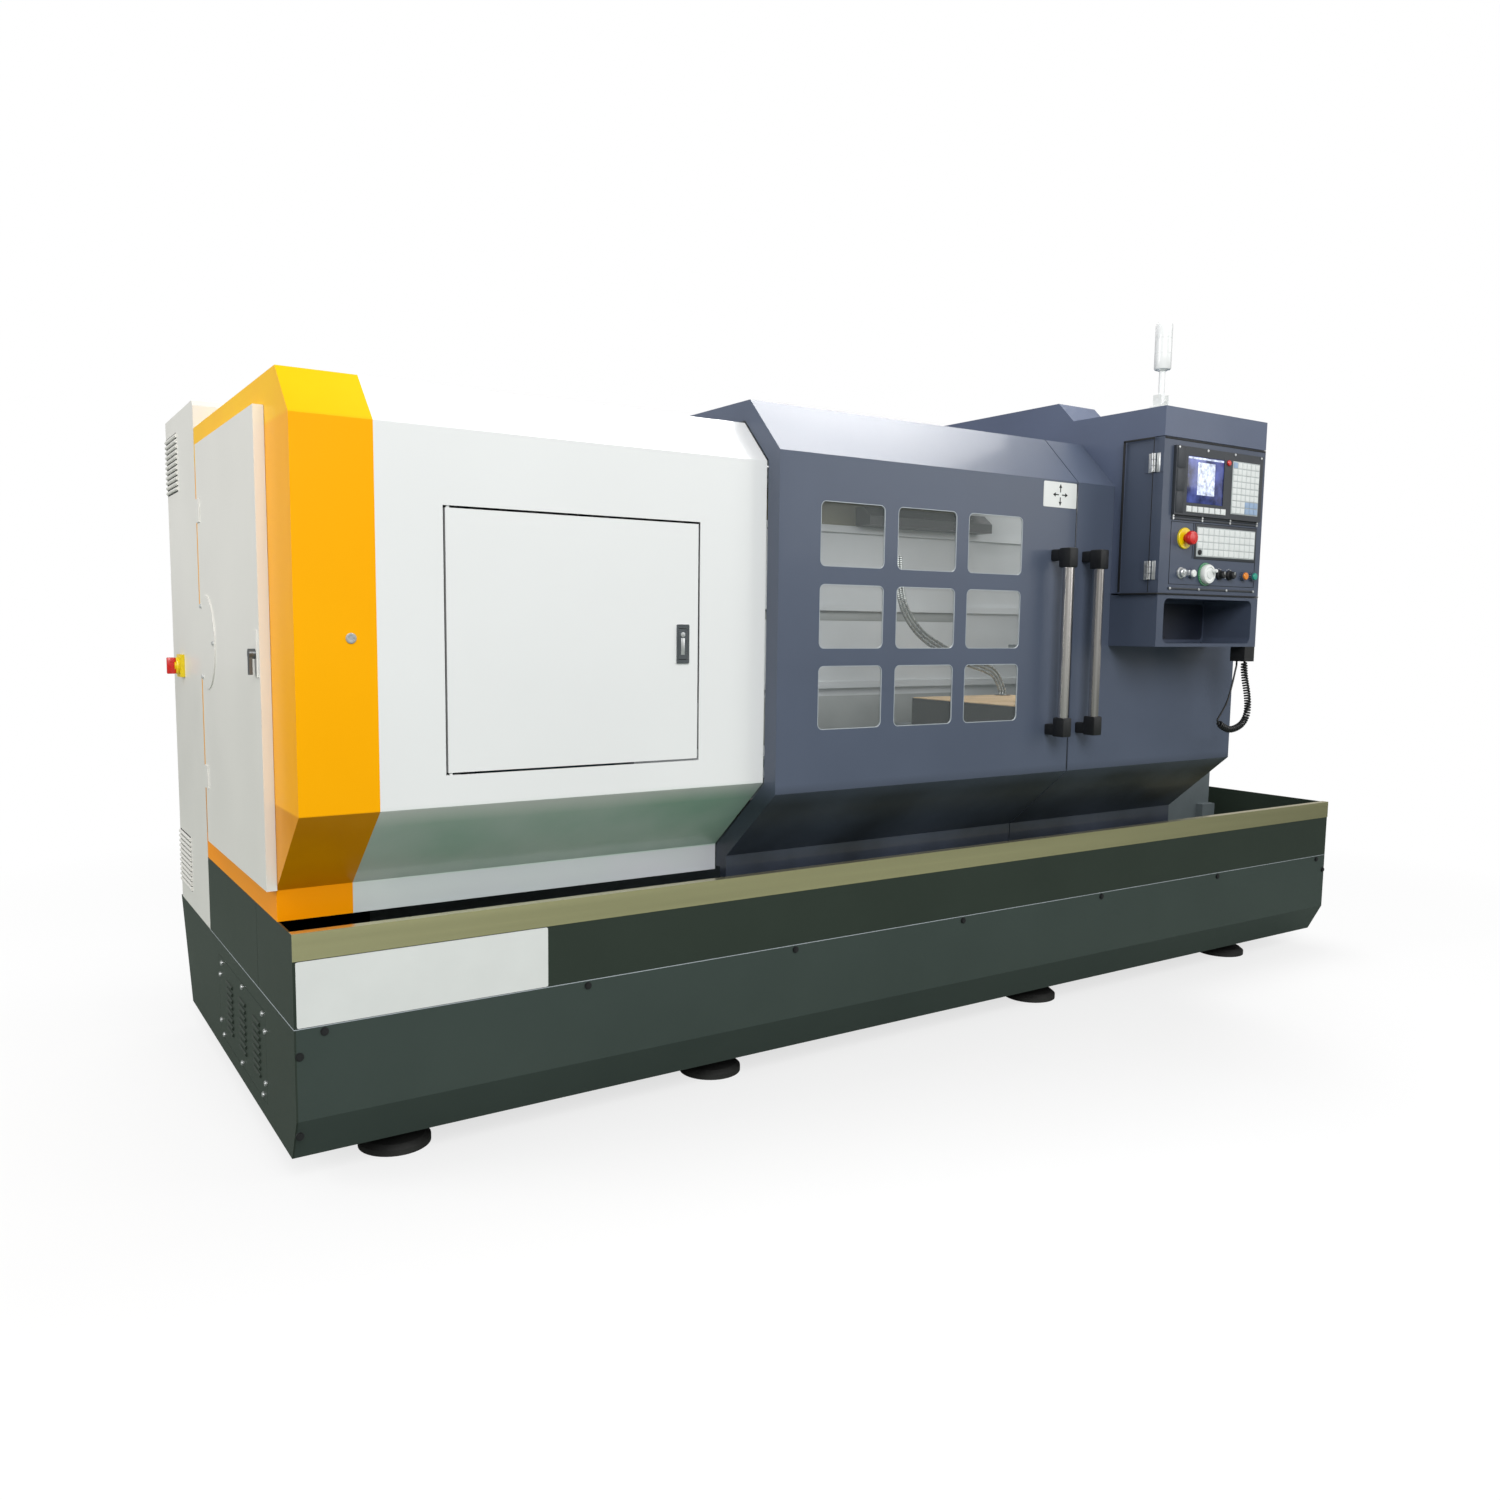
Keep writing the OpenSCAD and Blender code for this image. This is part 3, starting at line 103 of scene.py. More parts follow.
# a painted or metal surface: mottle and grain are strength and size; height bands (painted shade and
# highlight on some finishes, plain tone changes on others) and glow only where given
def finish(name, tone, rough=0.3, metal=0.0, coat=0.0, mottle=(0.05, 0.02), grain=(0.04, 0.001),
           stretch=(1, 1, 1), glossPlay=0.06, alpha=1.0, paintedLightAndTone=(), specular=0.5, glow=0.0):
    mat = bpy.data.materials.new(name)
    mat.use_nodes = True
    tree = mat.node_tree
    base = linear(tone)
    where = addNode(tree, "ShaderNodeTexCoord").outputs["Object"]
    scaled = addNode(tree, "ShaderNodeMapping", {"Vector": where, "Scale": stretch}).outputs["Vector"]
    cloud = addNode(tree, "ShaderNodeTexNoise", {"Vector": scaled, "Scale": 1 / mottle[1],
                                                 "Detail": surface["cloudDetail"]}).outputs["Fac"]
    ramp = addNode(tree, "ShaderNodeValToRGB", {"Fac": cloud})
    for stop, place, share in zip(ramp.color_ramp.elements, surface["ramp"], (1 - mottle[0], 1 + mottle[0])):
        stop.position = place
        stop.color = (*[min(1, c * share) for c in base], 1)
    colour = ramp.outputs["Color"]
    for layer in paintedLightAndTone:
        colour = addPaintedLightAndTone(tree, where, cloud, colour, layer)
    fine = addNode(tree, "ShaderNodeTexNoise", {"Vector": scaled, "Scale": 1 / grain[1],
                                                "Detail": surface["grainDetail"]}).outputs["Fac"]
    bump = addNode(tree, "ShaderNodeBump",
                   {"Height": fine, "Strength": grain[0], "Distance": surface["grainDepth"]})
    gloss = addNode(tree, "ShaderNodeMapRange",
                    {"Value": cloud, "To Min": max(surface["leastRough"], rough - glossPlay),
                     "To Max": min(1, rough + glossPlay)})
    shader = tree.nodes["Principled BSDF"]
    feed(tree, shader, {"Base Color": colour, "Normal": bump.outputs["Normal"], "Metallic": metal,
                        "Roughness": gloss.outputs["Result"], "Coat Weight": coat,
                        "Coat Roughness": surface["coatRough"], "Alpha": alpha,
                        "Specular IOR Level": specular, "Emission Strength": glow})
    if glow:
        feed(tree, shader, {"Emission Color": colour})
    return mat


# a second tone between two heights: layer is its tone, where it starts, where it is full and its share; used
# for painted shade and highlight bands and for plain tone changes
def addPaintedLightAndTone(tree, where, cloud, colour, layer):
    tone, start, full, share = layer
    height = addNode(tree, "ShaderNodeSeparateXYZ", {"Vector": where}).outputs["Z"]
    fall = addNode(tree, "ShaderNodeMapRange",
                   {"Value": height, "From Min": start, "From Max": full, "To Max": share})
    patch = addNode(tree, "ShaderNodeMath", {0: fall.outputs["Result"], 1: cloud}, operation="MULTIPLY")
    mix = addNode(tree, "ShaderNodeMix", {"Factor": patch.outputs["Value"], "A": colour,
                                          "B": (*linear(tone), 1)}, data_type="RGBA")
    return mix.outputs["Result"]


# each finish with its values and the solids of the frame that wear it
finishes = {
    "baseGreen": {"tone": "#2c362e", "rough": 0.45, "coat": 0.05, "mottle": (0.07, 0.35),
        "grain": (0.08, 0.003), "specular": 0.3, "paintedLightAndTone": [("#3c453f", 0.45, 0.07, 0.4)],
        "nodes": "base_frame end_vent_panel"},
    "skirtGreen": {"tone": "#3c4743", "rough": 0.42, "coat": 0.05, "mottle": (0.06, 0.35),
        "grain": (0.08, 0.003), "specular": 0.3, "paintedLightAndTone": [("#444d46", 0.36, 0.07, 0.4)],
        "nodes": "front_skirt"},
    "trimSteel": {"tone": "#e0d6a8", "rough": 0.24, "metal": 0.9, "mottle": (0.14, 0.06),
        "grain": (0.1, 0.002), "stretch": (0.02, 1, 1), "glossPlay": 0.1, "nodes": "trim_band"},
    "castPaint": {"tone": "#5f686b", "rough": 0.5, "mottle": (0.1, 0.12), "grain": (0.25, 0.006),
        "nodes": "machine_bed headstock saddle tailstock tool_turret"},
    "slideBlack": {"tone": "#0d0e0f", "rough": 0.6, "mottle": (0.2, 0.08), "grain": (0.15, 0.003),
        "specular": 0.12, "nodes": "cross_slide"},
    "brightSteel": {"tone": "#c3c6c8", "rough": 0.25, "metal": 1.0, "mottle": (0.08, 0.03),
        "grain": (0.06, 0.0015), "stretch": (1, 1, 0.1), "glossPlay": 0.08,
        "nodes": "spindle chuck_jaw_a chuck_jaw_b chuck_jaw_c z_ball_screw tailstock_quill"},
    "tubeSteel": {"tone": "#d0ccc8", "rough": 0.2, "metal": 0.95, "mottle": (0.4, 0.012),
        "grain": (0.05, 0.001), "stretch": (1, 1, 0.012), "glossPlay": 0.1},
    "darkSteel": {"tone": "#6c7175", "rough": 0.35, "metal": 0.9, "mottle": (0.1, 0.05),
        "grain": (0.1, 0.002), "nodes": "chuck_body motor_pulley headstock_latch end_door_latch"},
    "coverWhite": {"tone": "#ebecec", "rough": 0.22, "coat": 0.5, "mottle": (0.015, 0.5),
        # headstock cover: greenish painted shade on the downward chamfer below z 0.8, for the dark floor it
        # faces; a pale grey below z 0.645 ends it at the toe
        "grain": (0.03, 0.004), "paintedLightAndTone": [("#7db397", 0.85, 0.8, 1.2), ("#cfd1d7", 0.652, 0.645, 1.6)],
        "nodes": "headstock_cover headstock_door"},
    "bandYellow": {"tone": "#ffb000", "rough": 0.36, "coat": 0.03, "mottle": (0.03, 0.5),
        "grain": (0.03, 0.004), "specular": 0.1,
        # end band: painted highlight as a lighter yellow above z 1.64 on the roof slope; painted shade as
        # dark brown on the downward chamfer below z 0.845; the orange below z 0.652 ends the shade at the toe
        "paintedLightAndTone": [("#ffd400", 1.64, 1.65, 1.0), ("#b36000", 0.845, 0.84, 1.2), ("#ff9c00", 0.652, 0.648, 1.8)],
        "nodes": "end_band"},
    "doorGrey": {"tone": "#515a6c", "rough": 0.36, "coat": 0.12, "mottle": (0.05, 0.3),
        # doors: painted shade, near black on the downward chamfer below z 0.84, full from z 0.78
        "grain": (0.14, 0.0025), "specular": 0.4, "paintedLightAndTone": [("#0e1313", 0.84, 0.78, 1.3)],
        "nodes": "left_door right_door"},
    "panelGrey": {"tone": "#495264", "rough": 0.38, "coat": 0.1, "mottle": (0.05, 0.2),
        "grain": (0.14, 0.002), "specular": 0.35, "nodes": "control_box control_panel storage_box"},
    "casingGrey": {"tone": "#59637a", "rough": 0.38, "coat": 0.1, "mottle": (0.05, 0.2),
        "grain": (0.14, 0.002), "specular": 0.35, "nodes": "pendant_casing"},
    "cabinetGrey": {"tone": "#e4e2dc", "rough": 0.4, "coat": 0.1, "mottle": (0.025, 0.4),
        "grain": (0.12, 0.0025), "nodes": "electrical_cabinet cabinet_door end_door"},
    "guardGrey": {"tone": "#bfc3c4", "rough": 0.45, "mottle": (0.06, 0.25), "grain": (0.08, 0.003),
        "nodes": "rear_guard"},
    "blackPlastic": {"tone": "#17181a", "rough": 0.5, "mottle": (0.12, 0.05), "grain": (0.2, 0.001),
        "nodes": "z_servo_motor work_light cord_box tailstock_handwheel left_handle right_handle"},
    "blackRubber": {"tone": "#111212", "rough": 0.65, "mottle": (0.2, 0.05), "grain": (0.25, 0.002),
        "paintedLightAndTone": [("#4a4a46", 0.05, 0.0, 0.5)],
        "nodes": "levelling_feet drive_belt curly_cord straight_lead"},
    "motorBlue": {"tone": "#3d5a6c", "rough": 0.45, "mottle": (0.08, 0.35), "grain": (0.15, 0.004),
        "nodes": "spindle_motor"},
    "windowClear": {"tone": "#e8f0f0", "rough": 0.08, "mottle": (0.02, 0.35), "grain": (0.01, 0.004),
        "glossPlay": 0.03, "alpha": 0.05, "specular": 0.15, "nodes": "door_glazing"},
    "red": {"tone": "#d41f1b", "rough": 0.28, "coat": 0.3, "grain": (0.03, 0.001),
        "nodes": "main_switch_handle emergency_stop"},
    "signalYellow": {"tone": "#f3d400", "rough": 0.35, "coat": 0.2, "grain": (0.03, 0.001),
        "nodes": "main_switch_plate"},
    "whitePlastic": {"tone": "#eceeec", "coat": 0.2, "mottle": (0.03, 0.02),
        "nodes": "hand_dial key_switch button_white tower_bracket"},
    "lampWhite": {"tone": "#f4f5f5", "rough": 0.25, "coat": 0.4, "mottle": (0.02, 0.03),
        "grain": (0.03, 0.001), "nodes": "signal_lamp"},
    "orange": {"tone": "#ee8a1d", "coat": 0.3, "mottle": (0.05, 0.01), "grain": (0.03, 0.001),
        "nodes": "button_orange"},
    "teal": {"tone": "#159a86", "coat": 0.3, "mottle": (0.05, 0.01), "grain": (0.03, 0.001),
        "nodes": "button_teal"},
    "bezel": {"tone": "#33373d", "rough": 0.45, "mottle": (0.06, 0.05), "grain": (0.2, 0.001),
        "nodes": "display_unit"},
    "screen": {"tone": "#343c6c", "rough": 0.15, "coat": 0.3, "mottle": (0.9, 0.05), "grain": (0.0, 0.004),
        "glossPlay": 0.03, "glow": 0.9},
    "screenPale": {"tone": "#b4bbd2", "rough": 0.2, "mottle": (0.6, 0.012), "grain": (0.0, 0.004),
        "glow": 0.7},
    "cordBlack": {"tone": "#1c1d1e", "rough": 0.34, "mottle": (0.15, 0.03), "grain": (0.08, 0.001)},
    "guardBand": {"tone": "#8b8f8d", "rough": 0.5, "mottle": (0.12, 0.2), "grain": (0.08, 0.004)},
    # olive tone used as painted shade high on the rear guard
    "paintedShadeOlive": {"tone": "#6a6852", "rough": 0.55, "mottle": (0.2, 0.15), "grain": (0.08, 0.004)},
    "keyWhite": {"tone": "#e6e9e8", "rough": 0.35, "mottle": (0.04, 0.02)},
    "keyBlue": {"tone": "#9cb4d2", "rough": 0.35},
    "keyGrey": {"tone": "#b4babb", "rough": 0.4, "mottle": (0.06, 0.02)},
    "plateWhite": {"tone": "#e2e4e2", "coat": 0.2, "mottle": (0.02, 0.1), "grain": (0.02, 0.004)},
    "edgePale": {"tone": "#a9b0b6", "mottle": (0.06, 0.05), "grain": (0.04, 0.004)},
    "seamDark": {"tone": "#131517", "rough": 0.6, "mottle": (0.1, 0.35), "grain": (0.05, 0.004),
        "nodes": "knob_left knob_right"},
    "nicheNavy": {"tone": "#1d2434", "rough": 0.5, "mottle": (0.15, 0.06), "grain": (0.1, 0.002)},
    "tinZinc": {"tone": "#d4d6d6", "metal": 0.7, "mottle": (0.08, 0.01), "grain": (0.06, 0.001),
        "nodes": "end_door_hinges"},
    "hoseMetal": {"tone": "#9b9f9d", "rough": 0.28, "metal": 0.9, "mottle": (0.15, 0.02),
        "grain": (0.05, 0.002), "nodes": "coolant_hose"},
    "tanCover": {"tone": "#c3a67c", "rough": 0.6, "mottle": (0.12, 0.06), "grain": (0.15, 0.003)},
    "dialGreen": {"tone": "#3c8a5c", "rough": 0.35},
}
look = {}
for name, values in finishes.items():
    worn = values.pop("nodes", "").split()
    look[name] = finish(name, **values)
    for node in worn:
        mesh = cad[node].data
        mesh.materials.clear()
        mesh.materials.append(look[name])
print("finishes made:", len(look))


# pieces sit at the origin with their place in the mesh; wear is finish, body and, where it differs, slot; the
# slot is not used
def keep(name, mesh, wear):
    finishName, body = wear[:2]
    obj = bpy.data.objects.new(name, mesh)
    scene.collection.objects.link(obj)
    mesh.materials.clear()
    mesh.materials.append(look[finishName])
    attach(obj, body)
    return obj


def fromBmesh(name, bm, wear, smooth=False):
    bmesh.ops.recalc_face_normals(bm, faces=bm.faces)
    mesh = bpy.data.meshes.new(name)
    bm.to_mesh(mesh)
    bm.free()
    if smooth:
        mesh.shade_smooth()
        mesh.set_sharp_from_angle(angle=math.radians(35))
    return keep(name, mesh, wear)


# a place in millimetres off an anchor
def at(anchor, x, y, z):
    return Vector(anchor) + Vector((x, y, z)) * mm


def addBlock(bm, low, high, rounding, steps=2):
    made = bmesh.ops.create_cube(bm, size=1)
    for v in made["verts"]:
        v.co = Vector([low[i] + (v.co[i] + 0.5) * (high[i] - low[i]) for i in range(3)])
    edges = list({e for v in made["verts"] for e in v.link_edges})
    bmesh.ops.bevel(bm, geom=edges, offset=rounding, segments=steps, profile=0.5, affect="EDGES")


# rounded blocks, each from two corners in millimetres off an anchor
def blocks(name, anchor, boxes, rounding, wear):
    bm = bmesh.new()
    for low, high in boxes:
        addBlock(bm, at(anchor, *low), at(anchor, *high), rounding * mm)
    return fromBmesh(name, bm, wear, smooth=True)


# a turned shape: profile pairs of radius and place along the axis in millimetres
def addTurned(bm, place, axis, profile, around):
    turn = Vector((0, 0, 1)).rotation_difference(Vector(axis)).to_matrix()
    rings = []
    for radius, along in profile:
        ring = []
        for k in range(around if radius > 0 else 1):
            a = 2 * math.pi * k / around
            spot = Vector((radius * math.cos(a), radius * math.sin(a), along))
            ring.append(bm.verts.new(Vector(place) + turn @ spot * mm))
        rings.append(ring)
    for one, two in zip(rings, rings[1:]):
        joinRings(bm, one, two, around)
    for ring in (rings[0], rings[-1]):
        if len(ring) > 1:
            bm.faces.new(ring)


def joinRings(bm, one, two, around):
    for k in range(around):
        quad = [one[k % len(one)], one[(k + 1) % len(one)], two[(k + 1) % len(two)], two[k % len(two)]]
        corner = [v for i, v in enumerate(quad) if v not in quad[:i]]
        if len(corner) > 2:
            bm.faces.new(corner)


def turned(name, shapes, wear, around=32):
    bm = bmesh.new()
    for place, axis, profile in shapes:
        addTurned(bm, place, axis, profile, around)
    return fromBmesh(name, bm, wear, smooth=True)


def rod(radius, start, end):
    return [(0, start), (radius, start), (radius, end), (0, end)]


# points of a rounded rectangle in X and Z from its left bottom corner, in millimetres
def roundedOutline(corner, wide, high, radius, steps=6):
    points = []
    for cx, cz, start in ((wide - radius, radius, -90), (wide - radius, high - radius, 0),
                          (radius, high - radius, 90), (radius, radius, 180)):
        for k in range(steps + 1):
            a = math.radians(start + 90 * k / steps)
            x, z = cx + radius * math.cos(a), cz + radius * math.sin(a)
            points.append((corner[0] + x * mm, corner[1] + z * mm))
    return points


def ringAt(bm, points, y):
    return [bm.verts.new((x, y, z)) for x, z in points]


# a frame or plate standing in X and Z between two depths
def addPlate(bm, outer, inner, y0, y1):
    count = len(outer)
    front, back = ringAt(bm, outer, y0), ringAt(bm, outer, y1)
    joinRings(bm, front, back, count)
    if not inner:
        bm.faces.new(front)
        bm.faces.new(back)
        return
    holeFront, holeBack = ringAt(bm, inner, y0), ringAt(bm, inner, y1)
    joinRings(bm, front, holeFront, count)
    joinRings(bm, back, holeBack, count)
    joinRings(bm, holeFront, holeBack, count)


# one plate with rounded corners, in millimetres off an anchor
def plate(name, anchor, values, wear):
    (x, z), (wide, high), (near, far) = values["corner"], values["span"], values["depth"]
    outline = roundedOutline((anchor.x + x * mm, anchor.z + z * mm), wide, high, values["radius"])
    bm = bmesh.new()
    addPlate(bm, outline, None, anchor.y + near * mm, anchor.y + far * mm)
    return fromBmesh(name, bm, wear)


# geometry nodes: one small shape set on every point of a mesh
def pointTree(name, shape):
    tree = bpy.data.node_groups.new(name, "GeometryNodeTree")
    for socket, way, kind in (("Points", "INPUT", "Geometry"), ("Size", "INPUT", "Vector"),
                              ("Turn", "INPUT", "Rotation"), ("Finish", "INPUT", "Material"),
                              ("Result", "OUTPUT", "Geometry")):
        tree.interface.new_socket(socket, in_out=way, socket_type="NodeSocket" + kind)
    given = addNode(tree, "NodeGroupInput").outputs
    join = addNode(tree, "GeometryNodeJoinGeometry")
    for sides, scale, place in shape:
        if sides:
            solid = addNode(tree, "GeometryNodeMeshCylinder", {"Vertices": sides, "Radius": 1, "Depth": 1})
        else:
            solid = addNode(tree, "GeometryNodeMeshCube")
        move = addNode(tree, "GeometryNodeTransform",
                       {"Geometry": solid.outputs["Mesh"], "Scale": scale, "Translation": place})
        feed(tree, join, {"Geometry": move.outputs["Geometry"]})
    spread = addNode(tree, "GeometryNodeInstanceOnPoints",
                     {"Points": given["Points"], "Instance": join.outputs["Geometry"],
                      "Rotation": given["Turn"], "Scale": given["Size"]})
    real = addNode(tree, "GeometryNodeRealizeInstances", {"Geometry": spread.outputs["Instances"]})
    paint = addNode(tree, "GeometryNodeSetMaterial",
                    {"Geometry": real.outputs["Geometry"], "Material": given["Finish"]})
    addNode(tree, "NodeGroupOutput", {"Result": paint.outputs["Geometry"]})
    return tree


# each shape as stacked solids: number of sides (none for a box), scale, place
shapes = {"screwHead": [(14, (1, 1, 0.6), (0, 0, 0.3)), (14, (0.8, 0.8, 0.4), (0, 0, 0.8)),
                        (6, (0.42, 0.42, 0.12), (0, 0, 1.03))],
          "keyCap": [(0, (1, 1, 0.6), (0, 0, 0.3)), (0, (0.86, 0.86, 0.4), (0, 0, 0.8))],
          "louvreHood": [(16, (1, 1, 1), (0, 0, 0))],
          "dot": [(10, (1, 1, 1), (0, 0, 0))]}
trees = {name: pointTree(name, shape) for name, shape in shapes.items()}
quarter = math.pi / 2
facing = {"front": Euler((quarter, 0, 0)), "left": Euler((0, -quarter, 0)), "back": Euler((-quarter, 0, 0))}
toFront = (0, -1, 0)


# size in millimetres: two across, one along the way the shape faces
def scatter(name, tree, points, size, turn, wear):
    seed = bpy.data.meshes.new(name + "Points")
    seed.from_pydata([tuple(p) for p in points], [], [])
    holder = bpy.data.objects.new(name + "Points", seed)
    scene.collection.objects.link(holder)
    mod = holder.modifiers.new("spread", "NODES")
    mod.node_group = trees[tree]
    ids = {s.name: s.identifier for s in trees[tree].interface.items_tree if s.in_out == "INPUT"}
    mod[ids["Size"]] = [s * mm for s in size]
    mod[ids["Turn"]] = facing[turn]
    mod[ids["Finish"]] = look[wear[0]]
    graph = bpy.context.evaluated_depsgraph_get()
    graph.update()
    mesh = bpy.data.meshes.new_from_object(holder.evaluated_get(graph))
    mesh.name = name
    bpy.data.objects.remove(holder)
    return keep(name, mesh, wear)


# middles of a field of cells, from its left bottom corner, in millimetres off an anchor
def grid(anchor, field):
    (x0, z0), (wide, high), (columns, rows) = field["corner"], field["span"], field["cells"]
    return {(i, j): at(anchor, x0 + wide * (i + 0.5) / columns, 0, z0 + high * (j + 0.5) / rows)
            for i in range(columns) for j in range(rows)}


# cord of the pendant: one cable with a coil, then a straight run back up to the box
cable = {"coil": [(892, -1040, 1144), (892, -1040, 1120), (897, -1042, 1085), (906, -1044, 1050),
                  (913, -1045, 1012), (909, -1046, 976), (888, -1047, 950), (856, -1047, 936),
                  (824, -1046, 932), (794, -1045, 940), (767, -1044, 955)],
         "straight": [(767, -1044, 955), (764.4, -1044, 957.3), (763, -1044, 960.5), (763.1, -1044, 963.9),
                      (765.2, -1043.8, 967.7), (788, -1042, 990), (812, -1039, 1015), (832, -1035, 1045),
                      (850, -1031, 1080), (866, -1027, 1115), (872, -1026, 1130), (872, -1026, 1144)],
         "wire": 2.8, "coilRadius": 8.0, "pitch": 8.2, "perTurn": 14, "steps": (12, 6)}


def smoothRoute(points, steps):
    pts = [Vector(p) * mm for p in points]
    out = []
    for i in range(len(pts) - 1):
        a, b = pts[max(i - 1, 0)], pts[i]
        c, d = pts[i + 1], pts[min(i + 2, len(pts) - 1)]
        for k in range(steps):
            t = k / steps
            out.append(0.5 * (2 * b + (c - a) * t + (2 * a - 5 * b + 4 * c - d) * t ** 2
                              + (3 * b - a - 3 * c + d) * t ** 3))
    out.append(pts[-1])
    return out


# evenly spaced places along a route with their two cross directions
def stations(route, count):
    lengths = [0.0]
    for a, b in zip(route, route[1:]):
        lengths.append(lengths[-1] + (b - a).length)
    out, spot = [], 0
    for i in range(count + 1):
        s = lengths[-1] * i / count
        while spot < len(route) - 2 and lengths[spot + 1] < s:
            spot += 1
        t = (s - lengths[spot]) / max(1e-9, lengths[spot + 1] - lengths[spot])
        along = (route[spot + 1] - route[spot]).normalized()
        side = Vector((0, 1, 0)).cross(along).normalized()
        out.append((route[spot].lerp(route[spot + 1], t), side, along.cross(side)))
    return out


def routeLength(route):
    return sum((b - a).length for a, b in zip(route, route[1:]))


# the wire round a route; its first and last turn open and close gently
def coilRound(route, values):
    perTurn = values["perTurn"]
    count = int(routeLength(route) / (values["pitch"] * mm)) * perTurn
    out = []
    for i, (place, side, up) in enumerate(stations(route, count)):
        a = 2 * math.pi * i / perTurn
        share = min(1, i / perTurn, (count - i) / perTurn)
        grow = share * share * (3 - 2 * share)
        out.append(place + values["coilRadius"] * mm * grow * (math.cos(a) * side + math.sin(a) * up))
    return out


def makeCable(values):
    fine, coarse = values["steps"]
    points = coilRound(smoothRoute(values["coil"], fine), values)
    points += smoothRoute(values["straight"], coarse)[1:]
    data = bpy.data.curves.new("curlyCord", "CURVE")
    data.dimensions = "3D"
    line = data.splines.new("POLY")
    line.points.add(len(points) - 1)
    for target, p in zip(line.points, points):
        target.co = (*p, 1)
    data.bevel_depth = values["wire"] * mm
    data.bevel_resolution = 2
    data.use_fill_caps = True
    data.materials.append(look["cordBlack"])
    obj = bpy.data.objects.new("curlyCord", data)
    scene.collection.objects.link(obj)
    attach(obj, "right_door")
    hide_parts("curly_cord", "straight_lead")
    length = routeLength(points)
    return length


print("cord length:", round(makeCable(cable), 3))

# base: skirt and end screws, blank plate, painted highlight as a pale strip along the skirt's top edge
zinc, seam = ("tinZinc", "machine_frame"), ("seamDark", "machine_frame")
baseLow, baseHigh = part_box("base_frame")
left, front = baseLow.x, baseLow.y
baseFoot = Vector((left, front, 0))
skirtScrews = {"first": 63, "step": 626.4, "count": 7, "z": 361, "size": (9, 9, 5),
               "more": [(10, 314), (6, 139), (3870, 315)]}
spots = [(skirtScrews["first"] + i * skirtScrews["step"], skirtScrews["z"])
         for i in range(skirtScrews["count"])]
scatter("skirtScrews", "screwHead", [at(baseFoot, x, 0, z) for x, z in spots + skirtScrews["more"]],
        skirtScrews["size"], "front", ("blackPlastic", "machine_frame"))
endScrews = {"spots": [(817, 317), (841, 280), (548, 322), (845, 152), (811, 120), (316, 320), (291, 284),
                       (572, 118), (297, 157), (327, 120)], "size": (7, 7, 4)}
scatter("endScrews", "screwHead", [at(baseFoot, 0, y, z) for y, z in endScrews["spots"]],
        endScrews["size"], "left", zinc)
namePlate = {"corner": (6, 376), "span": (578, 144), "radius": 4, "depth": (-1.5, 0)}
plate("namePlateBlank", baseFoot, namePlate, ("plateWhite", "machine_frame"))
# pale strip along the skirt's top edge and the left end: a painted highlight of the edge
skirtEdgeHighlight = {"z": (372.5, 374.5), "proud": 0.5, "into": 1, "short": 500, "rounding": 0.2}
(z0, z1), proud, into = skirtEdgeHighlight["z"], skirtEdgeHighlight["proud"], skirtEdgeHighlight["into"]
span = (baseHigh - baseFoot) / mm
blocks("skirtEdgeHighlight", baseFoot, [((0, -proud, z0), (span.x, into, z1)),
                               ((-proud, 0, z0), (into, span.y - skirtEdgeHighlight["short"], z1))],
       skirtEdgeHighlight["rounding"], ("edgePale", "machine_frame"))
print("base dressed")

# left end: hoods over the louvres, screws of the disc, lock on the band's front
endLouvres = {"y": (-353, -189, -25), "z": 157, "step": 18, "count": 8, "size": (4.5, 4.5, 75)}
scatter("endLouvres", "louvreHood",
        [(left, y * mm, (endLouvres["z"] + i * endLouvres["step"]) * mm)
         for y in endLouvres["y"] for i in range(endLouvres["count"])],
        endLouvres["size"], "front", ("baseGreen", "machine_frame"))
cabLow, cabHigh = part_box("electrical_cabinet")
cabLouvres = {"y": 378, "low": 59, "high": -209, "step": 15, "count": 11, "size": (5.5, 5.5, 190)}
louvreAt = Vector((left, cabLow.y + cabLouvres["y"] * mm, 0))
bottoms = [cabLow.z / mm + cabLouvres["low"], cabHigh.z / mm + cabLouvres["high"]]
rows = [i * cabLouvres["step"] for i in range(cabLouvres["count"])]
scatter("cabinetLouvres", "louvreHood", [at(louvreAt, 0, 0, z + up) for z in bottoms for up in rows],
        cabLouvres["size"], "front", ("cabinetGrey", "machine_frame"))
louvreBack = {"half": 92, "x": (-0.4, 0.3), "edge": 9, "rounding": 0.1}
(near, far), half, edge = louvreBack["x"], louvreBack["half"], louvreBack["edge"]
blocks("louvreBack", louvreAt, [((near, -half, z - edge), (far, half, z + rows[-1] + edge)) for z in bottoms],
       louvreBack["rounding"], seam)
discScrews = {"radius": 105, "turns": (0.5, 2.6, 4.7), "z": 1180, "size": (6, 6, 4)}
discAt = (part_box("end_door")[0].x, 0, discScrews["z"] * mm)
scatter("discScrews", "screwHead",
        [at(discAt, 0, discScrews["radius"] * math.sin(a), discScrews["radius"] * math.cos(a))
         for a in discScrews["turns"]], discScrews["size"], "left", ("tinZinc", "end_door"))
bandLock = {"x": 112, "z": 1203,
            "profile": [(0, -1), (11, -1), (11, 2), (9, 3.5), (6, 3.5), (5, 2.5), (0, 2.5)]}
lockAt = (left + bandLock["x"] * mm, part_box("headstock_cover")[0].y, bandLock["z"] * mm)
turned("bandLock", [(lockAt, toFront, bandLock["profile"])], zinc, 24)
low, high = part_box("main_switch_handle")
switchAt = Vector((left, (low.y + high.y) / 2, (low.z + high.z) / 2))
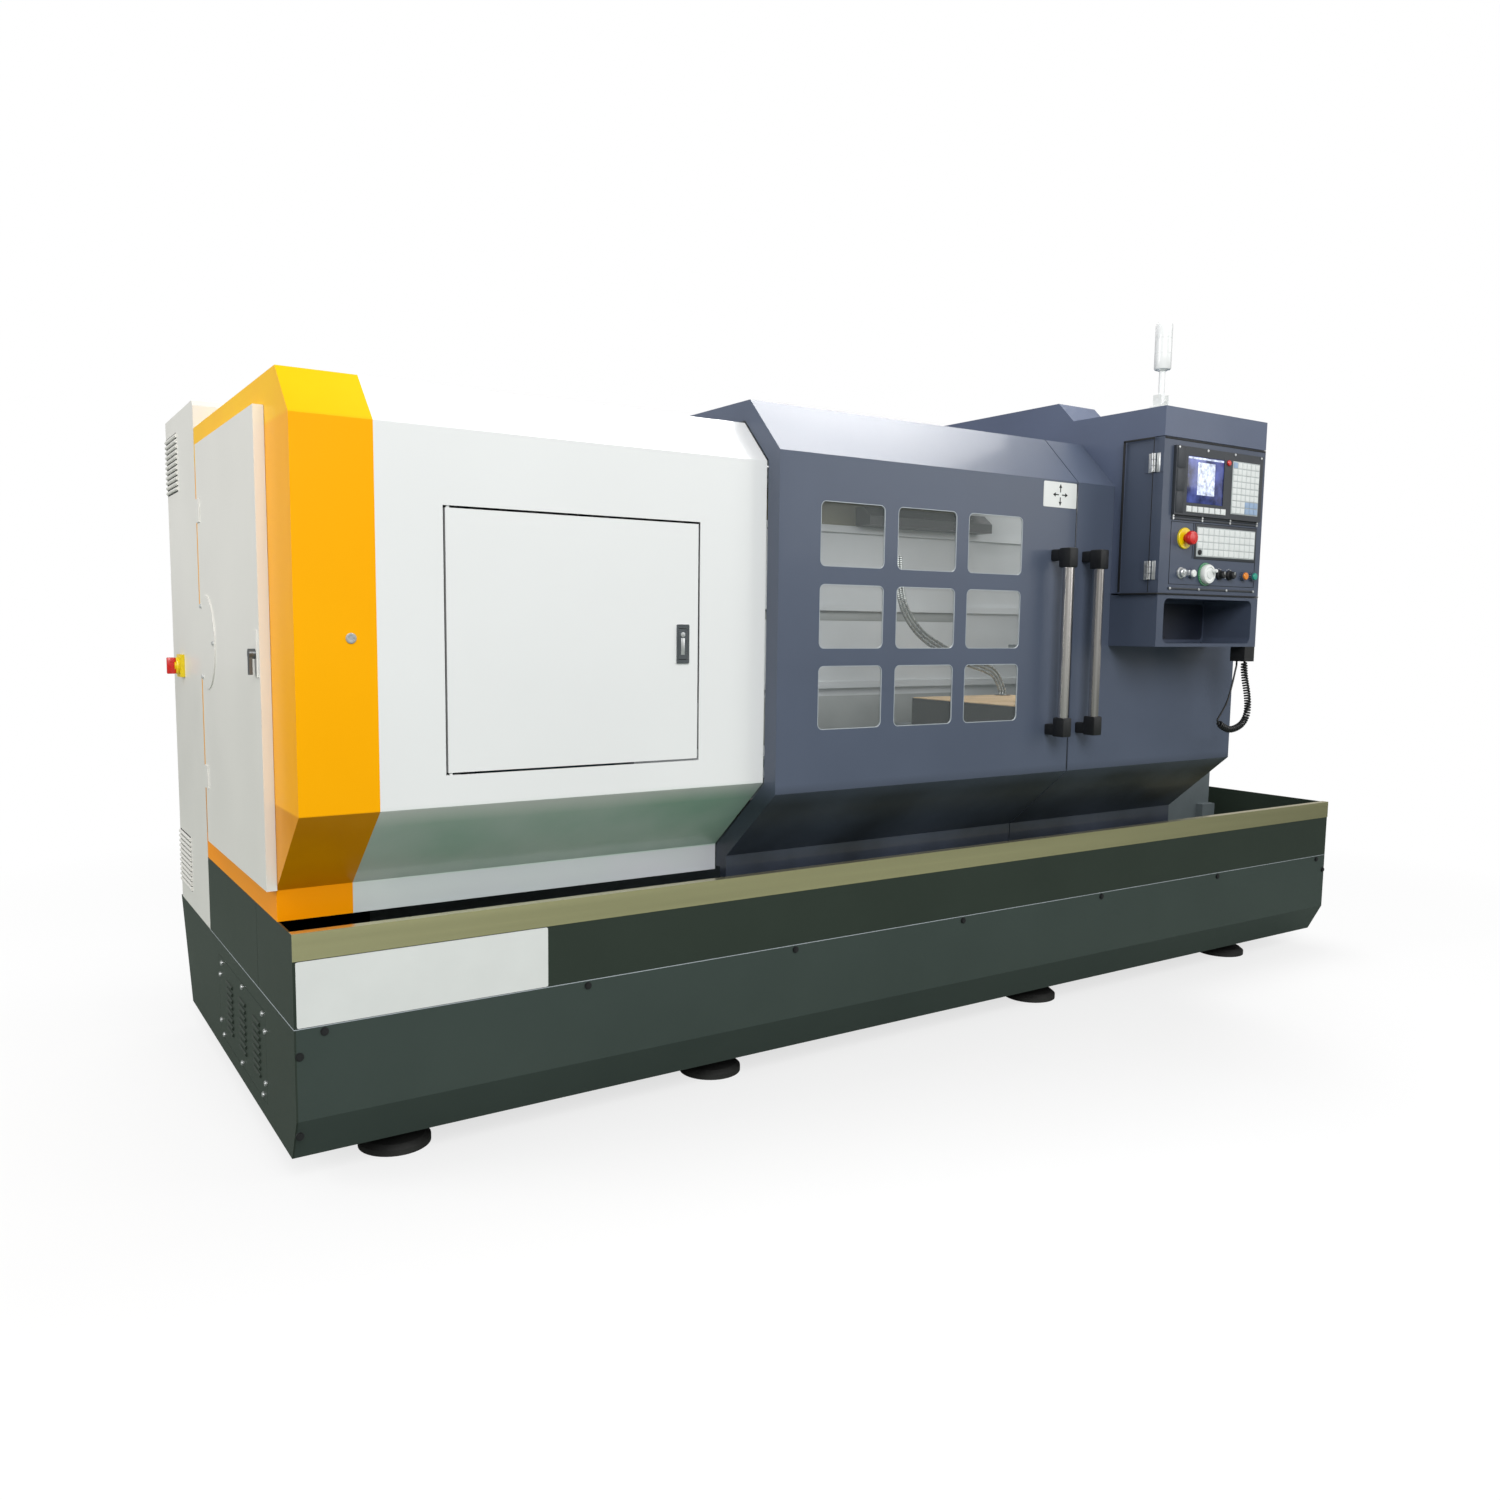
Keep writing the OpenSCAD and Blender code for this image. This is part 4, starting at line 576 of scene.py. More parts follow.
mainSwitch = {"boss": [(0, 7), (8.8, 7), (8.8, 12.4), (25, 12.4), (25, 18), (23, 20), (12, 20), (12, 24),
                       (0, 24)], "lever": ((-44, -6, -24), (-20, 6, 24)), "rounding": 2.5}
turned("switchBoss", [(switchAt, (-1, 0, 0), mainSwitch["boss"])], ("signalYellow", "main_switch"))
obj = blocks("switchLever", switchAt, [mainSwitch["lever"]], mainSwitch["rounding"], ("red", "main_switch"))
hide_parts("main_switch_handle")
low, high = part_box("headstock_latch")
latchAt = Vector(((low.x + high.x) / 2, low.y, (low.z + high.z) / 2))
latch = {"outer": (35, 93, 3), "inner": (26, 76, 2), "depth": (-0.8, 0.4), "rounding": 0.3,
         "grip": ((-5, -0.8, -26), (5, 0.3, 14)), "lock": 22,
         "ring": [(0, -0.4), (6, -0.4), (6, 1), (3, 1.4), (0, 1.4)]}
rims = [roundedOutline((latchAt.x - wide / 2 * mm, latchAt.z - tall / 2 * mm), wide, tall, radius)
        for wide, tall, radius in (latch["outer"], latch["inner"])]
bm = bmesh.new()
addPlate(bm, *rims, *[latchAt.y + y * mm for y in latch["depth"]])
fromBmesh("latchFrame", bm, ("darkSteel", "headstock_door"))
latchZinc = ("tinZinc", "headstock_latch")
blocks("latchGrip", latchAt, [latch["grip"]], latch["rounding"], latchZinc)
turned("latchLock", [(at(latchAt, 0, 0, latch["lock"]), toFront, latch["ring"])], latchZinc, 20)
coverLip = {"box": ((-803, -752, 757), (-765, -690, 786)), "rounding": 1}
blocks("coverLip", Vector(), [coverLip["box"]], coverLip["rounding"], seam)
print("left end dressed")

# sliding doors: pale window edges, handles, arrow plate, dark line where they meet
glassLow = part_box("door_glazing")[0]
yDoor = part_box("left_handle")[1].y
windowEdges = {"inset": 22, "count": 3, "step": (254, 207), "size": (210, 163), "corner": 16, "edge": 1.8,
               "proud": 0.4, "deep": 3}
(wide, tall), edge, radius = windowEdges["size"], windowEdges["edge"], windowEdges["corner"]
bm = bmesh.new()
for i in range(windowEdges["count"]):
    for j in range(windowEdges["count"]):
        x = glassLow.x + (windowEdges["inset"] + i * windowEdges["step"][0]) * mm
        z = glassLow.z + (windowEdges["inset"] + j * windowEdges["step"][1]) * mm
        outer = roundedOutline((x, z), wide, tall, radius)
        inner = roundedOutline((x + edge * mm, z + edge * mm), wide - 2 * edge, tall - 2 * edge,
                               radius - edge)
        addPlate(bm, outer, inner, yDoor - windowEdges["proud"] * mm, yDoor + windowEdges["deep"] * mm)
fromBmesh("windowEdges", bm, ("edgePale", "left_door"))

handle = {"tube": 15, "out": 55, "foot": 56, "arm": 42, "lap": 12, "slim": 3, "bar": 32, "rounding": 4,
          "into": 10}
for side in ("left", "right"):
    body = side + "_door"
    low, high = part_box(side + "_handle")
    tall, wide = (high.z - low.z) / mm, (high.x - low.x) / mm
    foot, slim, bar, arm = [handle[key] for key in ("foot", "slim", "bar", "arm")]
    tubeAt = ((low.x + high.x) / 2, yDoor - handle["out"] * mm, low.z)
    tube = rod(handle["tube"], foot - handle["into"], tall - foot + handle["into"])
    turned(side + "Tube", [(tubeAt, (0, 0, 1), tube)], ("tubeSteel", body))
    feet = []
    for z, up in ((0, slim), (tall - foot, foot - bar - slim)):
        feet.append(((0, 0, z), (wide, arm, z + foot)))
        feet.append(((slim, arm - handle["lap"], z + up), (wide - slim, (yDoor - low.y) / mm, z + up + bar)))
    obj = blocks(side + "Feet", low, feet, handle["rounding"], ("blackPlastic", body))
    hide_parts(side + "_handle")

arrowPlate = {"corner": (121, 1588), "span": (138, 72), "radius": 4, "depth": (-1, 0), "mark": 0.6,
              "arrow": [(7, 1.6), (20, 1.6), (20, 6), (31, 0), (20, -6), (20, -1.6), (7, -1.6)]}
plate("arrowPlate", Vector((0, yDoor, 0)), arrowPlate, ("plateWhite", "left_door"))
face = yDoor + arrowPlate["depth"][0] * mm
midX, midZ = [arrowPlate["corner"][i] + arrowPlate["span"][i] / 2 for i in (0, 1)]
bm = bmesh.new()
for ux, uz in ((1, 0), (-1, 0), (0, 1), (0, -1)):
    outline = [((midX + ux * a - uz * b) * mm, (midZ + uz * a + ux * b) * mm) for a, b in arrowPlate["arrow"]]
    addPlate(bm, outline, None, face - arrowPlate["mark"] * mm, face)
fromBmesh("arrowMarks", bm, ("seamDark", "left_door"))
splitLine = {"box": ((-3, -0.4, 820), (-0.2, 1, 1662)), "rounding": 0.1}
blocks("splitLine", Vector((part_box("left_door")[1].x, yDoor, 0)), [splitLine["box"]], splitLine["rounding"],
       ("seamDark", "left_door"))
print("doors dressed")

# seen through the windows: ribbed hoses, tan way cover, grey bands on the guard and a painted shade band at
# its top
hoses = {"route": [(0, 0), (0, 14), (-11, 36), (-29, 66), (-50, 87), (-80, 102), (-130, 117), (-178, 129),
                   (-261, 155), (-341, 187), (-425, 228), (-490, 280), (-536, 343), (-560, 422), (-569, 478),
                   (-573, 530)], "steps": 8,
         "apart": (-14, 0, 14), "reach": 11, "radius": 6.4, "rib": 0.7, "pitch": 7, "around": 14}
hoseLow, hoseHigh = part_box("coolant_hose")
hoseFoot = Vector((hoseHigh.x / mm - hoses["reach"], (hoseLow.y + hoseHigh.y) / 2 / mm, hoseLow.z / mm))
route = smoothRoute([hoseFoot + Vector((x, 0, z)) for x, z in hoses["route"]], hoses["steps"])
count = int(routeLength(route) / (hoses["pitch"] / 4 * mm))
turns = [2 * math.pi * k / hoses["around"] for k in range(hoses["around"])]
bm = bmesh.new()
for apart in hoses["apart"]:
    rings = []
    for i, (place, side, cross) in enumerate(stations(route, count)):
        radius = (hoses["radius"] - hoses["rib"] + hoses["rib"] * math.sin(math.pi / 2 * i)) * mm
        middle = place + apart * mm * side
        rings.append([bm.verts.new(middle + radius * (math.cos(a) * side + math.sin(a) * cross))
                      for a in turns])
    for one, two in zip(rings, rings[1:]):
        joinRings(bm, one, two, hoses["around"])
    bm.faces.new(rings[0])
    bm.faces.new(rings[-1])
obj = fromBmesh("ribbedHoses", bm, ("hoseMetal", "cross_slide"), smooth=True)
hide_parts("coolant_hose")
wayCover = {"boxes": [((3, 205, 0), (497, 574, 4)), ((3, 3, 0), (150, 208, 4))], "down": 6, "rounding": 1}
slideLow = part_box("cross_slide")[0]
blocks("wayCover", Vector((slideLow.x, slideLow.y, hoseLow.z - wayCover["down"] * mm)), wayCover["boxes"],
       wayCover["rounding"], ("tanCover", "cross_slide"))
guardFace = Vector((0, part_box("work_light")[1].y, 0))
# the olive band high on the guard's face is painted shade under the roof
guardBands = {"x": (-560, 1055), "y": (-0.8, -0.3), "greyBands": [(1262, 1299), (790, 970)],
              "paintedShadeBands": [(1628, 1744)], "rounding": 0.1}
(x0, x1), (y0, y1) = guardBands["x"], guardBands["y"]
for name, finishName in (("greyBands", "guardBand"), ("paintedShadeBands", "paintedShadeOlive")):
    blocks(name, guardFace, [((x0, y0, z0), (x1, y1, z1)) for z0, z1 in guardBands[name]],
           guardBands["rounding"], (finishName, "machine_frame"))
print("carriage dressed")

# pendant display: screen, keys and the column of segments
storeLow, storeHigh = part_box("storage_box")
panelLow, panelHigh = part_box("control_panel")
displayAt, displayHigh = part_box("display_unit")
panelAt = Vector((storeLow.x, storeLow.y, panelLow.z))
keyed, keyField = ("keyWhite", "control_panel"), ("keyGrey", "control_panel")
dark, panelSeam = ("bezel", "control_panel"), ("seamDark", "control_panel")
panelZinc, doorZinc = ("tinZinc", "control_panel"), ("tinZinc", "right_door")
doorSeam = ("seamDark", "right_door")
screen = {"glass": ((55.5, 1.5, 37.5), (228.5, 5.5, 171.5)), "rounding": 0.8, "soft": 0.2,
          "bars": [((58, 1.1, 164), (226, 1.7, 169.5)), ((104, 1.1, 62), (186, 1.7, 156))]}
blocks("screenGlass", displayAt, [screen["glass"]], screen["rounding"], ("screen", "control_panel"))
blocks("screenBars", displayAt, screen["bars"], screen["soft"], ("screenPale", "control_panel"))
softKeys = {"corner": (53, 8), "span": (191, 22), "cells": (7, 1), "size": (23, 17, 3)}
scatter("softKeys", "keyCap", grid(displayAt, softKeys).values(), softKeys["size"], "front", keyed)
keypad = {"field": ((268, -1.2, 16), (404, 0, 173)), "rounding": 0.5, "corner": (270, 18), "span": (132, 153),
          "cells": (6, 8), "out": 1, "size": (19, 16.5, 2),
          "blue": [(0, 7), (3, 0), (4, 0), (5, 0), (3, 1), (4, 1), (5, 1)]}
blocks("keypadField", displayAt, [keypad["field"]], keypad["rounding"], keyField)
cells = grid(at(displayAt, 0, -keypad["out"], 0), keypad)
scatter("keypadKeys", "keyCap", [p for k, p in cells.items() if k not in keypad["blue"]], keypad["size"],
        "front", keyed)
scatter("keypadBlueKeys", "keyCap", [cells[k] for k in keypad["blue"]], keypad["size"], "front",
        ("keyBlue", "control_panel"))
segments = {"x": (6, 42), "y": (-1.5, 0), "z": [(6, 64), (68, 130), (134, 190)], "rounding": 0.8}
(x0, x1), (y0, y1) = segments["x"], segments["y"]
blocks("displaySegments", displayAt, [((x0, y0, z0), (x1, y1, z1)) for z0, z1 in segments["z"]],
       segments["rounding"], dark)
redKey = {"x": 248, "z": 165, "profile": [(0, 6), (6, 5.5), (8.5, 3), (8.5, 0), (0, 0)]}
turned("redKey", [(at(displayAt, redKey["x"], 0, redKey["z"]), toFront, redKey["profile"])],
       ("red", "control_panel"), 20)

# lower panel: frame with a divider, operating keys, strips and their screws
lowerFrame = {"boxes": [((46, -1, 26), (464, 0, 27.5)), ((46, -1, 207), (464, 0, 208.5)),
                        ((46, -1, 26), (47.5, 0, 208.5)), ((462.5, -1, 26), (464, 0, 208.5)),
                        ((150, -1, 104), (151.5, 0, 207))], "rounding": 0.3}
blocks("lowerFrame", panelAt, lowerFrame["boxes"], lowerFrame["rounding"], panelSeam)
operating = {"frame": ((158, -2, 103), (462, 0, 206)), "frameRounding": 1, "rounding": 0.5,
             "field": ((166, -3, 111), (454, -1.8, 198)), "corner": (168, 113), "span": (284, 83),
             "cells": (11, 4), "out": 2.8, "size": (23, 18.5, 2), "round": (0, 0),
             "roundProfile": [(0, 5), (6, 4.5), (8, 2.5), (8, 0), (0, 0)]}
blocks("operatingFrame", panelAt, [operating["frame"]], operating["frameRounding"], dark)
blocks("operatingField", panelAt, [operating["field"]], operating["rounding"], keyField)
cells = grid(at(panelAt, 0, -operating["out"], 0), operating)
roundAt = cells.pop(operating["round"])
scatter("operatingKeys", "keyCap", cells.values(), operating["size"], "front", keyed)
turned("roundKey", [(roundAt, toFront, operating["roundProfile"])], panelSeam, 20)
strips = {"x": (43, 466), "z": (11, 213, 221), "high": 6, "thick": 3, "rounding": 1, "count": 4,
          "lower": (50, 136), "upper": (55, 133), "upperDepth": 10, "upperDown": 5, "size": (3.8, 3.8, 2)}
thick, high = strips["thick"], strips["high"]
blocks("panelStrips", panelAt, [((strips["x"][0], -thick, z), (strips["x"][1], 0, z + high))
                                for z in strips["z"]], strips["rounding"], dark)
first, step = strips["lower"]
spots = [at(panelAt, first + i * step, -thick, z + high / 2)
         for z in strips["z"] for i in range(strips["count"])]
first, step = strips["upper"]
upperAt = (panelAt.x, panelAt.y, displayHigh.z)
spots += [at(upperAt, first + i * step, -strips["upperDepth"], -strips["upperDown"])
          for i in range(strips["count"])]
scatter("panelScrews", "screwHead", spots, strips["size"], "front", panelZinc)
print("pendant keys done")


# turned controls of the lower panel, each from a place on it in millimetres
def control(name, spot, profile, wear, node=None, around=32):
    obj = turned(name, [(at(panelAt, spot[0], 0, spot[1]), toFront, profile)], wear, around)
    if node:
        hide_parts(node)


# small dots on a circle round a place on the panel
def tickMarks(name, spot, radius, turns, deep, size):
    points = [at(panelAt, spot[0] + radius * math.sin(a), -deep, spot[1] + radius * math.cos(a))
              for a in turns]
    scatter(name, "dot", points, size, "front", ("plateWhite", "control_panel", "white_plastic"))


row = 60
stop = {"at": (108, 161), "ring": [(11.5, 0), (30.8, 0), (30.8, 5.5), (29.5, 6.8), (11.5, 6.8), (11.5, 0)],
        "mushroom": [(0, -12), (10.5, -12), (10.5, 16), (19, 18), (20.5, 22), (20.5, 30), (18, 35), (9, 36.5),
                     (0, 36.5)]}
control("stopRing", stop["at"], stop["ring"], ("signalYellow", "control_panel"), around=40)
control("stopMushroom", stop["at"], stop["mushroom"], ("red", "emergency_stop"), "emergency_stop", 40)
dial = {"at": (216, row), "ring": [(7.5, 0.2), (34, 0.2), (34, 3), (7.5, 3), (7.5, 0.2)],
        "wheel": [(0, -11), (6.8, -11), (6.8, 3.4), (28, 3.4), (29, 6), (29, 14), (27, 18), (21, 18.5),
                  (20, 16), (13, 16), (12, 19), (0, 19.5)],
        "grip": [(0, 17), (5.5, 17), (6, 30), (4, 34), (0, 34.5)], "gripAt": (12, 9), "tickRadius": 31.5,
        "ticks": 36, "tickDepth": 3, "tickSize": (0.8, 0.8, 1)}
control("dialRing", dial["at"], dial["ring"], ("dialGreen", "control_panel"), around=48)
dialAt = at(panelAt, dial["at"][0], 0, dial["at"][1])
gripAt = at(dialAt, dial["gripAt"][0], 0, dial["gripAt"][1])
obj = turned("handDial", [(dialAt, toFront, dial["wheel"]), (gripAt, toFront, dial["grip"])],
             ("whitePlastic", "hand_dial"), 48)
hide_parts("hand_dial")
turns = [2 * math.pi * k / dial["ticks"] for k in range(dial["ticks"])]
tickMarks("dialTicks", dial["at"], dial["tickRadius"], turns, dial["tickDepth"], dial["tickSize"])
knob = {"x": {"left": 283, "right": 333}, "pointer": ((-0.9, -22.8, 1), (0.9, -21.5, 9)), "rounding": 0.2,
        "profile": [(0, -11), (6.8, -11), (6.8, 0.6), (14.5, 0.6), (14.5, 7), (11.5, 9), (10.5, 20),
                    (9, 21.5), (0, 22)],
        "ticks": 18.5, "turns": range(-120, 121, 30), "tickSize": (1.2, 1.2, 1.6)}
for side, x in knob["x"].items():
    node = "knob_" + side
    control("knob" + side.title(), (x, row), knob["profile"], ("blackPlastic", node), node, 24)
    blocks("pointer" + side.title(), at(panelAt, x, 0, row), [knob["pointer"]], knob["rounding"],
           ("plateWhite", node, "white_plastic"))
    tickMarks("knobTicks" + side.title(), (x, row), knob["ticks"],
              [math.radians(a) for a in knob["turns"]], 0, knob["tickSize"])
button = {"x": {"white": 148, "orange": 405, "teal": 452}, "finish": {"white": "whitePlastic"},
          "cap": [(0, -13), (6.8, -13), (6.8, 7.2), (10.8, 7.2), (10.8, 12.5), (9.5, 14.2), (0, 14.8)],
          "bezel": [(11.4, 0), (14.5, 0), (14.5, 5), (13.2, 6.6), (11.4, 6.6), (11.4, 0)]}
for colour, x in button["x"].items():
    node = "button_" + colour
    finishName = button["finish"].get(colour, colour)
    control(colour + "Button", (x, row), button["cap"], (finishName, node), node, 28)
    control(colour + "Bezel", (x, row), button["bezel"], panelZinc, around=28)
keyLock = {"x": 98, "profile": [(0, -11), (6.8, -11), (6.8, 0.6), (16.5, 0.6), (16.5, 4), (13, 6), (13, 14),
                                (11, 16), (0, 16)],
           "bow": ((-1.2, -34, -8), (1.2, -15.5, 8)), "rounding": 0.8}
control("keyLock", (keyLock["x"], row), keyLock["profile"], ("tinZinc", "key_switch", "white_plastic"),
        "key_switch", 28)
blocks("keyBow", at(panelAt, keyLock["x"], 0, row), [keyLock["bow"]], keyLock["rounding"],
       ("tinZinc", "key_switch"))
print("pendant controls done")

# panel hinges in bright zinc over the plain knuckles, the dark joint round the control box with painted shade
# filling its gap, and a painted shadow line of the hood along the panel's top
hinge = {"z": (38, 346), "high": 54, "knuckles": [(0, 17.5), (18.5, 35.5), (36.5, 54)], "radius": 6.3,
         "chamfer": 0.5, "out": 7, "behind": 0.4, "leaf": (7.6, 20), "thick": 2.4, "over": 0.3,
         "rounding": 0.6, "screwOut": 14, "screwUp": (12, 42), "size": (3, 3, 1.6)}
axis = Vector((panelAt.x - hinge["out"] * mm, panelHigh.y + hinge["behind"] * mm, panelAt.z))
full, slim = hinge["radius"], hinge["radius"] - hinge["chamfer"]
soft, thick, over = hinge["chamfer"], hinge["thick"], hinge["over"]
turned("hingeKnuckles",
       [(at(axis, 0, 0, z), (0, 0, 1),
         [(0, a), (slim, a), (full, a + soft), (full, b - soft), (slim, b), (0, b)])
        for z in hinge["z"] for a, b in hinge["knuckles"]], doorZinc, 20)
leafAt = Vector((panelAt.x, axis.y, panelAt.z))
for name, wear, way in (("hingeLeaves", doorZinc, 1), ("panelLeaves", panelZinc, -1)):
    near, far = sorted(way * reach for reach in hinge["leaf"])
    blocks(name, leafAt, [((-thick, near, z - over), (0, far, z + hinge["high"] + over)) for z in hinge["z"]],
           hinge["rounding"], wear)
scatter("leafScrews", "screwHead",
        [at(leafAt, -thick, hinge["screwOut"], z + up) for z in hinge["z"] for up in hinge["screwUp"]],
        hinge["size"], "left", doorZinc)
boxLow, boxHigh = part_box("control_box")
# dark strips along the control box's side edges and a dark slab under it: a real joint, with the shade in the
# gap painted in
jointShade = {"wide": 7, "proud": 0.8, "gap": 4.4, "in": 3, "under": -28, "free": 0.6, "top": 6, "rounding": 0.3}
wide, tall, deep = [(boxHigh[i] - boxLow[i]) / mm for i in (0, 2, 1)]
proud = jointShade["proud"]
blocks("boxJointShade", boxLow, [((-proud, deep - jointShade["wide"], 2), (2, deep, tall - 3)),
                            ((-proud, 1, tall - jointShade["top"]), (2, deep, tall - 0.5)),
                            ((-proud, 0.5, 1), (1, 2.5, tall - 1)),
                            ((jointShade["in"], jointShade["under"], -jointShade["gap"]),
                             (wide - jointShade["in"], deep, -jointShade["free"]))], jointShade["rounding"], doorSeam)
# dark strip along the panel's top edge: painted shadow of the hood
hoodShadowLine = {"high": 6, "in": 1, "y": (-0.6, 0.2), "free": 0.5, "rounding": 0.2}
(near, far), span = hoodShadowLine["y"], (panelHigh - panelAt) / mm
blocks("hoodShadowLine", panelAt, [((hoodShadowLine["in"], near, span.z - hoodShadowLine["high"]),
                             (span.x - hoodShadowLine["in"], far, span.z - hoodShadowLine["free"]))],
       hoodShadowLine["rounding"], panelSeam)

# storage niche: dark back, middle seam and vent dots
niche = {"corner": (40, 20), "span": (410, 112), "radius": 14, "depth": (-0.8, 0), "back": 3,
         "dots": [(251, 30 + 12 * i) for i in range(8)] + [(225 + 12 * i, 26) for i in range(4)],
         "size": (2.2, 2.2, 1), "seam": ((244, -1.6, 24), (246, -0.4, 128)), "rounding": 0.3}
backAt = Vector((storeLow.x, storeHigh.y - niche["back"] * mm, storeLow.z))
plate("nicheBack", backAt, niche, ("nicheNavy", "right_door"))
scatter("nicheDots", "dot", [at(backAt, x, niche["depth"][0], z) for x, z in niche["dots"]], niche["size"],
        "front", doorSeam)
blocks("nicheSeam", backAt, [niche["seam"]], niche["rounding"], doorSeam)
print("pendant box done")

# signal lamp: foot pin, pole, collar and slim white lens
lampLow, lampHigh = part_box("signal_lamp")
lampAt = Vector(((lampLow.x + lampHigh.x) / 2, (lampLow.y + lampHigh.y) / 2, lampLow.z))
tall = (lampHigh.z - lampLow.z) / mm
lamp = {"pole": 8.5, "collar": 14, "lens": 132, "radius": 23.8, "seams": (44, 88), "groove": 0.6,
        "pinHalf": 18, "pinRadius": 4.9, "pinUp": 10}
base, r = tall - lamp["lens"], lamp["radius"]
pole, collar, groove = lamp["pole"], lamp["collar"], lamp["groove"]
profile = [(0, 0), (pole, 0), (pole, base - 4), (collar, base - 3), (collar, base), (r - 2, base),
           (r, base + 3)]
for z in lamp["seams"]:
    profile += [(r, base + z - groove), (r - groove, base + z), (r, base + z + groove)]
profile += [(r, tall - 8), (r - 1.5, tall - 4), (r - 5, tall - 1), (r - 9, tall), (0, tall)]
bm = bmesh.new()
addTurned(bm, lampAt, (0, 0, 1), profile, 48)
addTurned(bm, at(lampAt, -lamp["pinHalf"], 0, lamp["pinUp"]), (1, 0, 0),
          rod(lamp["pinRadius"], 0, 2 * lamp["pinHalf"]), 20)
obj = fromBmesh("signalLampStack", bm, ("lampWhite", "signal_lamp"), smooth=True)
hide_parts("signal_lamp")
print("lamp done")

# back: lock of the cabinet door, bolts along the guard's foot and ribs on its back
cabinetLock = {"x": 70, "z": 700, "plate": ((-20, 0, -60), (20, 5, 60)), "grip": ((-9, 5, -48), (9, 19, 20)),
               "rounding": 3}
lockAt = at((left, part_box("cabinet_door")[1].y, cabLow.z), cabinetLock["x"], 0, cabinetLock["z"])
blocks("cabinetLock", lockAt, [cabinetLock["plate"], cabinetLock["grip"]], cabinetLock["rounding"],
       ("blackPlastic", "cabinet_door"))
guardLow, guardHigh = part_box("rear_guard")
guardBolts = {"step": 180, "z": 40, "size": (6, 6, 4), "in": 60, "deep": 58}
count = int((guardHigh.x - guardLow.x) / mm / guardBolts["step"])
boltAt = (guardLow.x, guardHigh.y - guardBolts["deep"] * mm, guardLow.z)
scatter("guardBolts", "screwHead",
        [at(boltAt, guardBolts["in"] + i * guardBolts["step"], 0, guardBolts["z"]) for i in range(count)],
        guardBolts["size"], "back", zinc)
backRibs = {"x": (-650, -190, 270, 730, 1190, 1650), "wide": 46, "y": (2, 20), "z": (500, 1740),
            "rounding": 5}
(y0, y1), (z0, z1) = backRibs["y"], backRibs["z"]
blocks("backRibs", guardFace, [((x, y0, z0), (x + backRibs["wide"], y1, z1)) for x in backRibs["x"]],
       backRibs["rounding"], ("guardGrey", "machine_frame"))
print("back dressed")

# floor, backdrop and lights
stage = {"half": 30, "z": -0.0005, "shade": (0.2, 0.24, 0.21), "pale": (0.9, 0.9, 0.9), "rough": 0.9,
         "near": 1.6, "far": 4.2, "least": 0.72, "sky": 0.42}


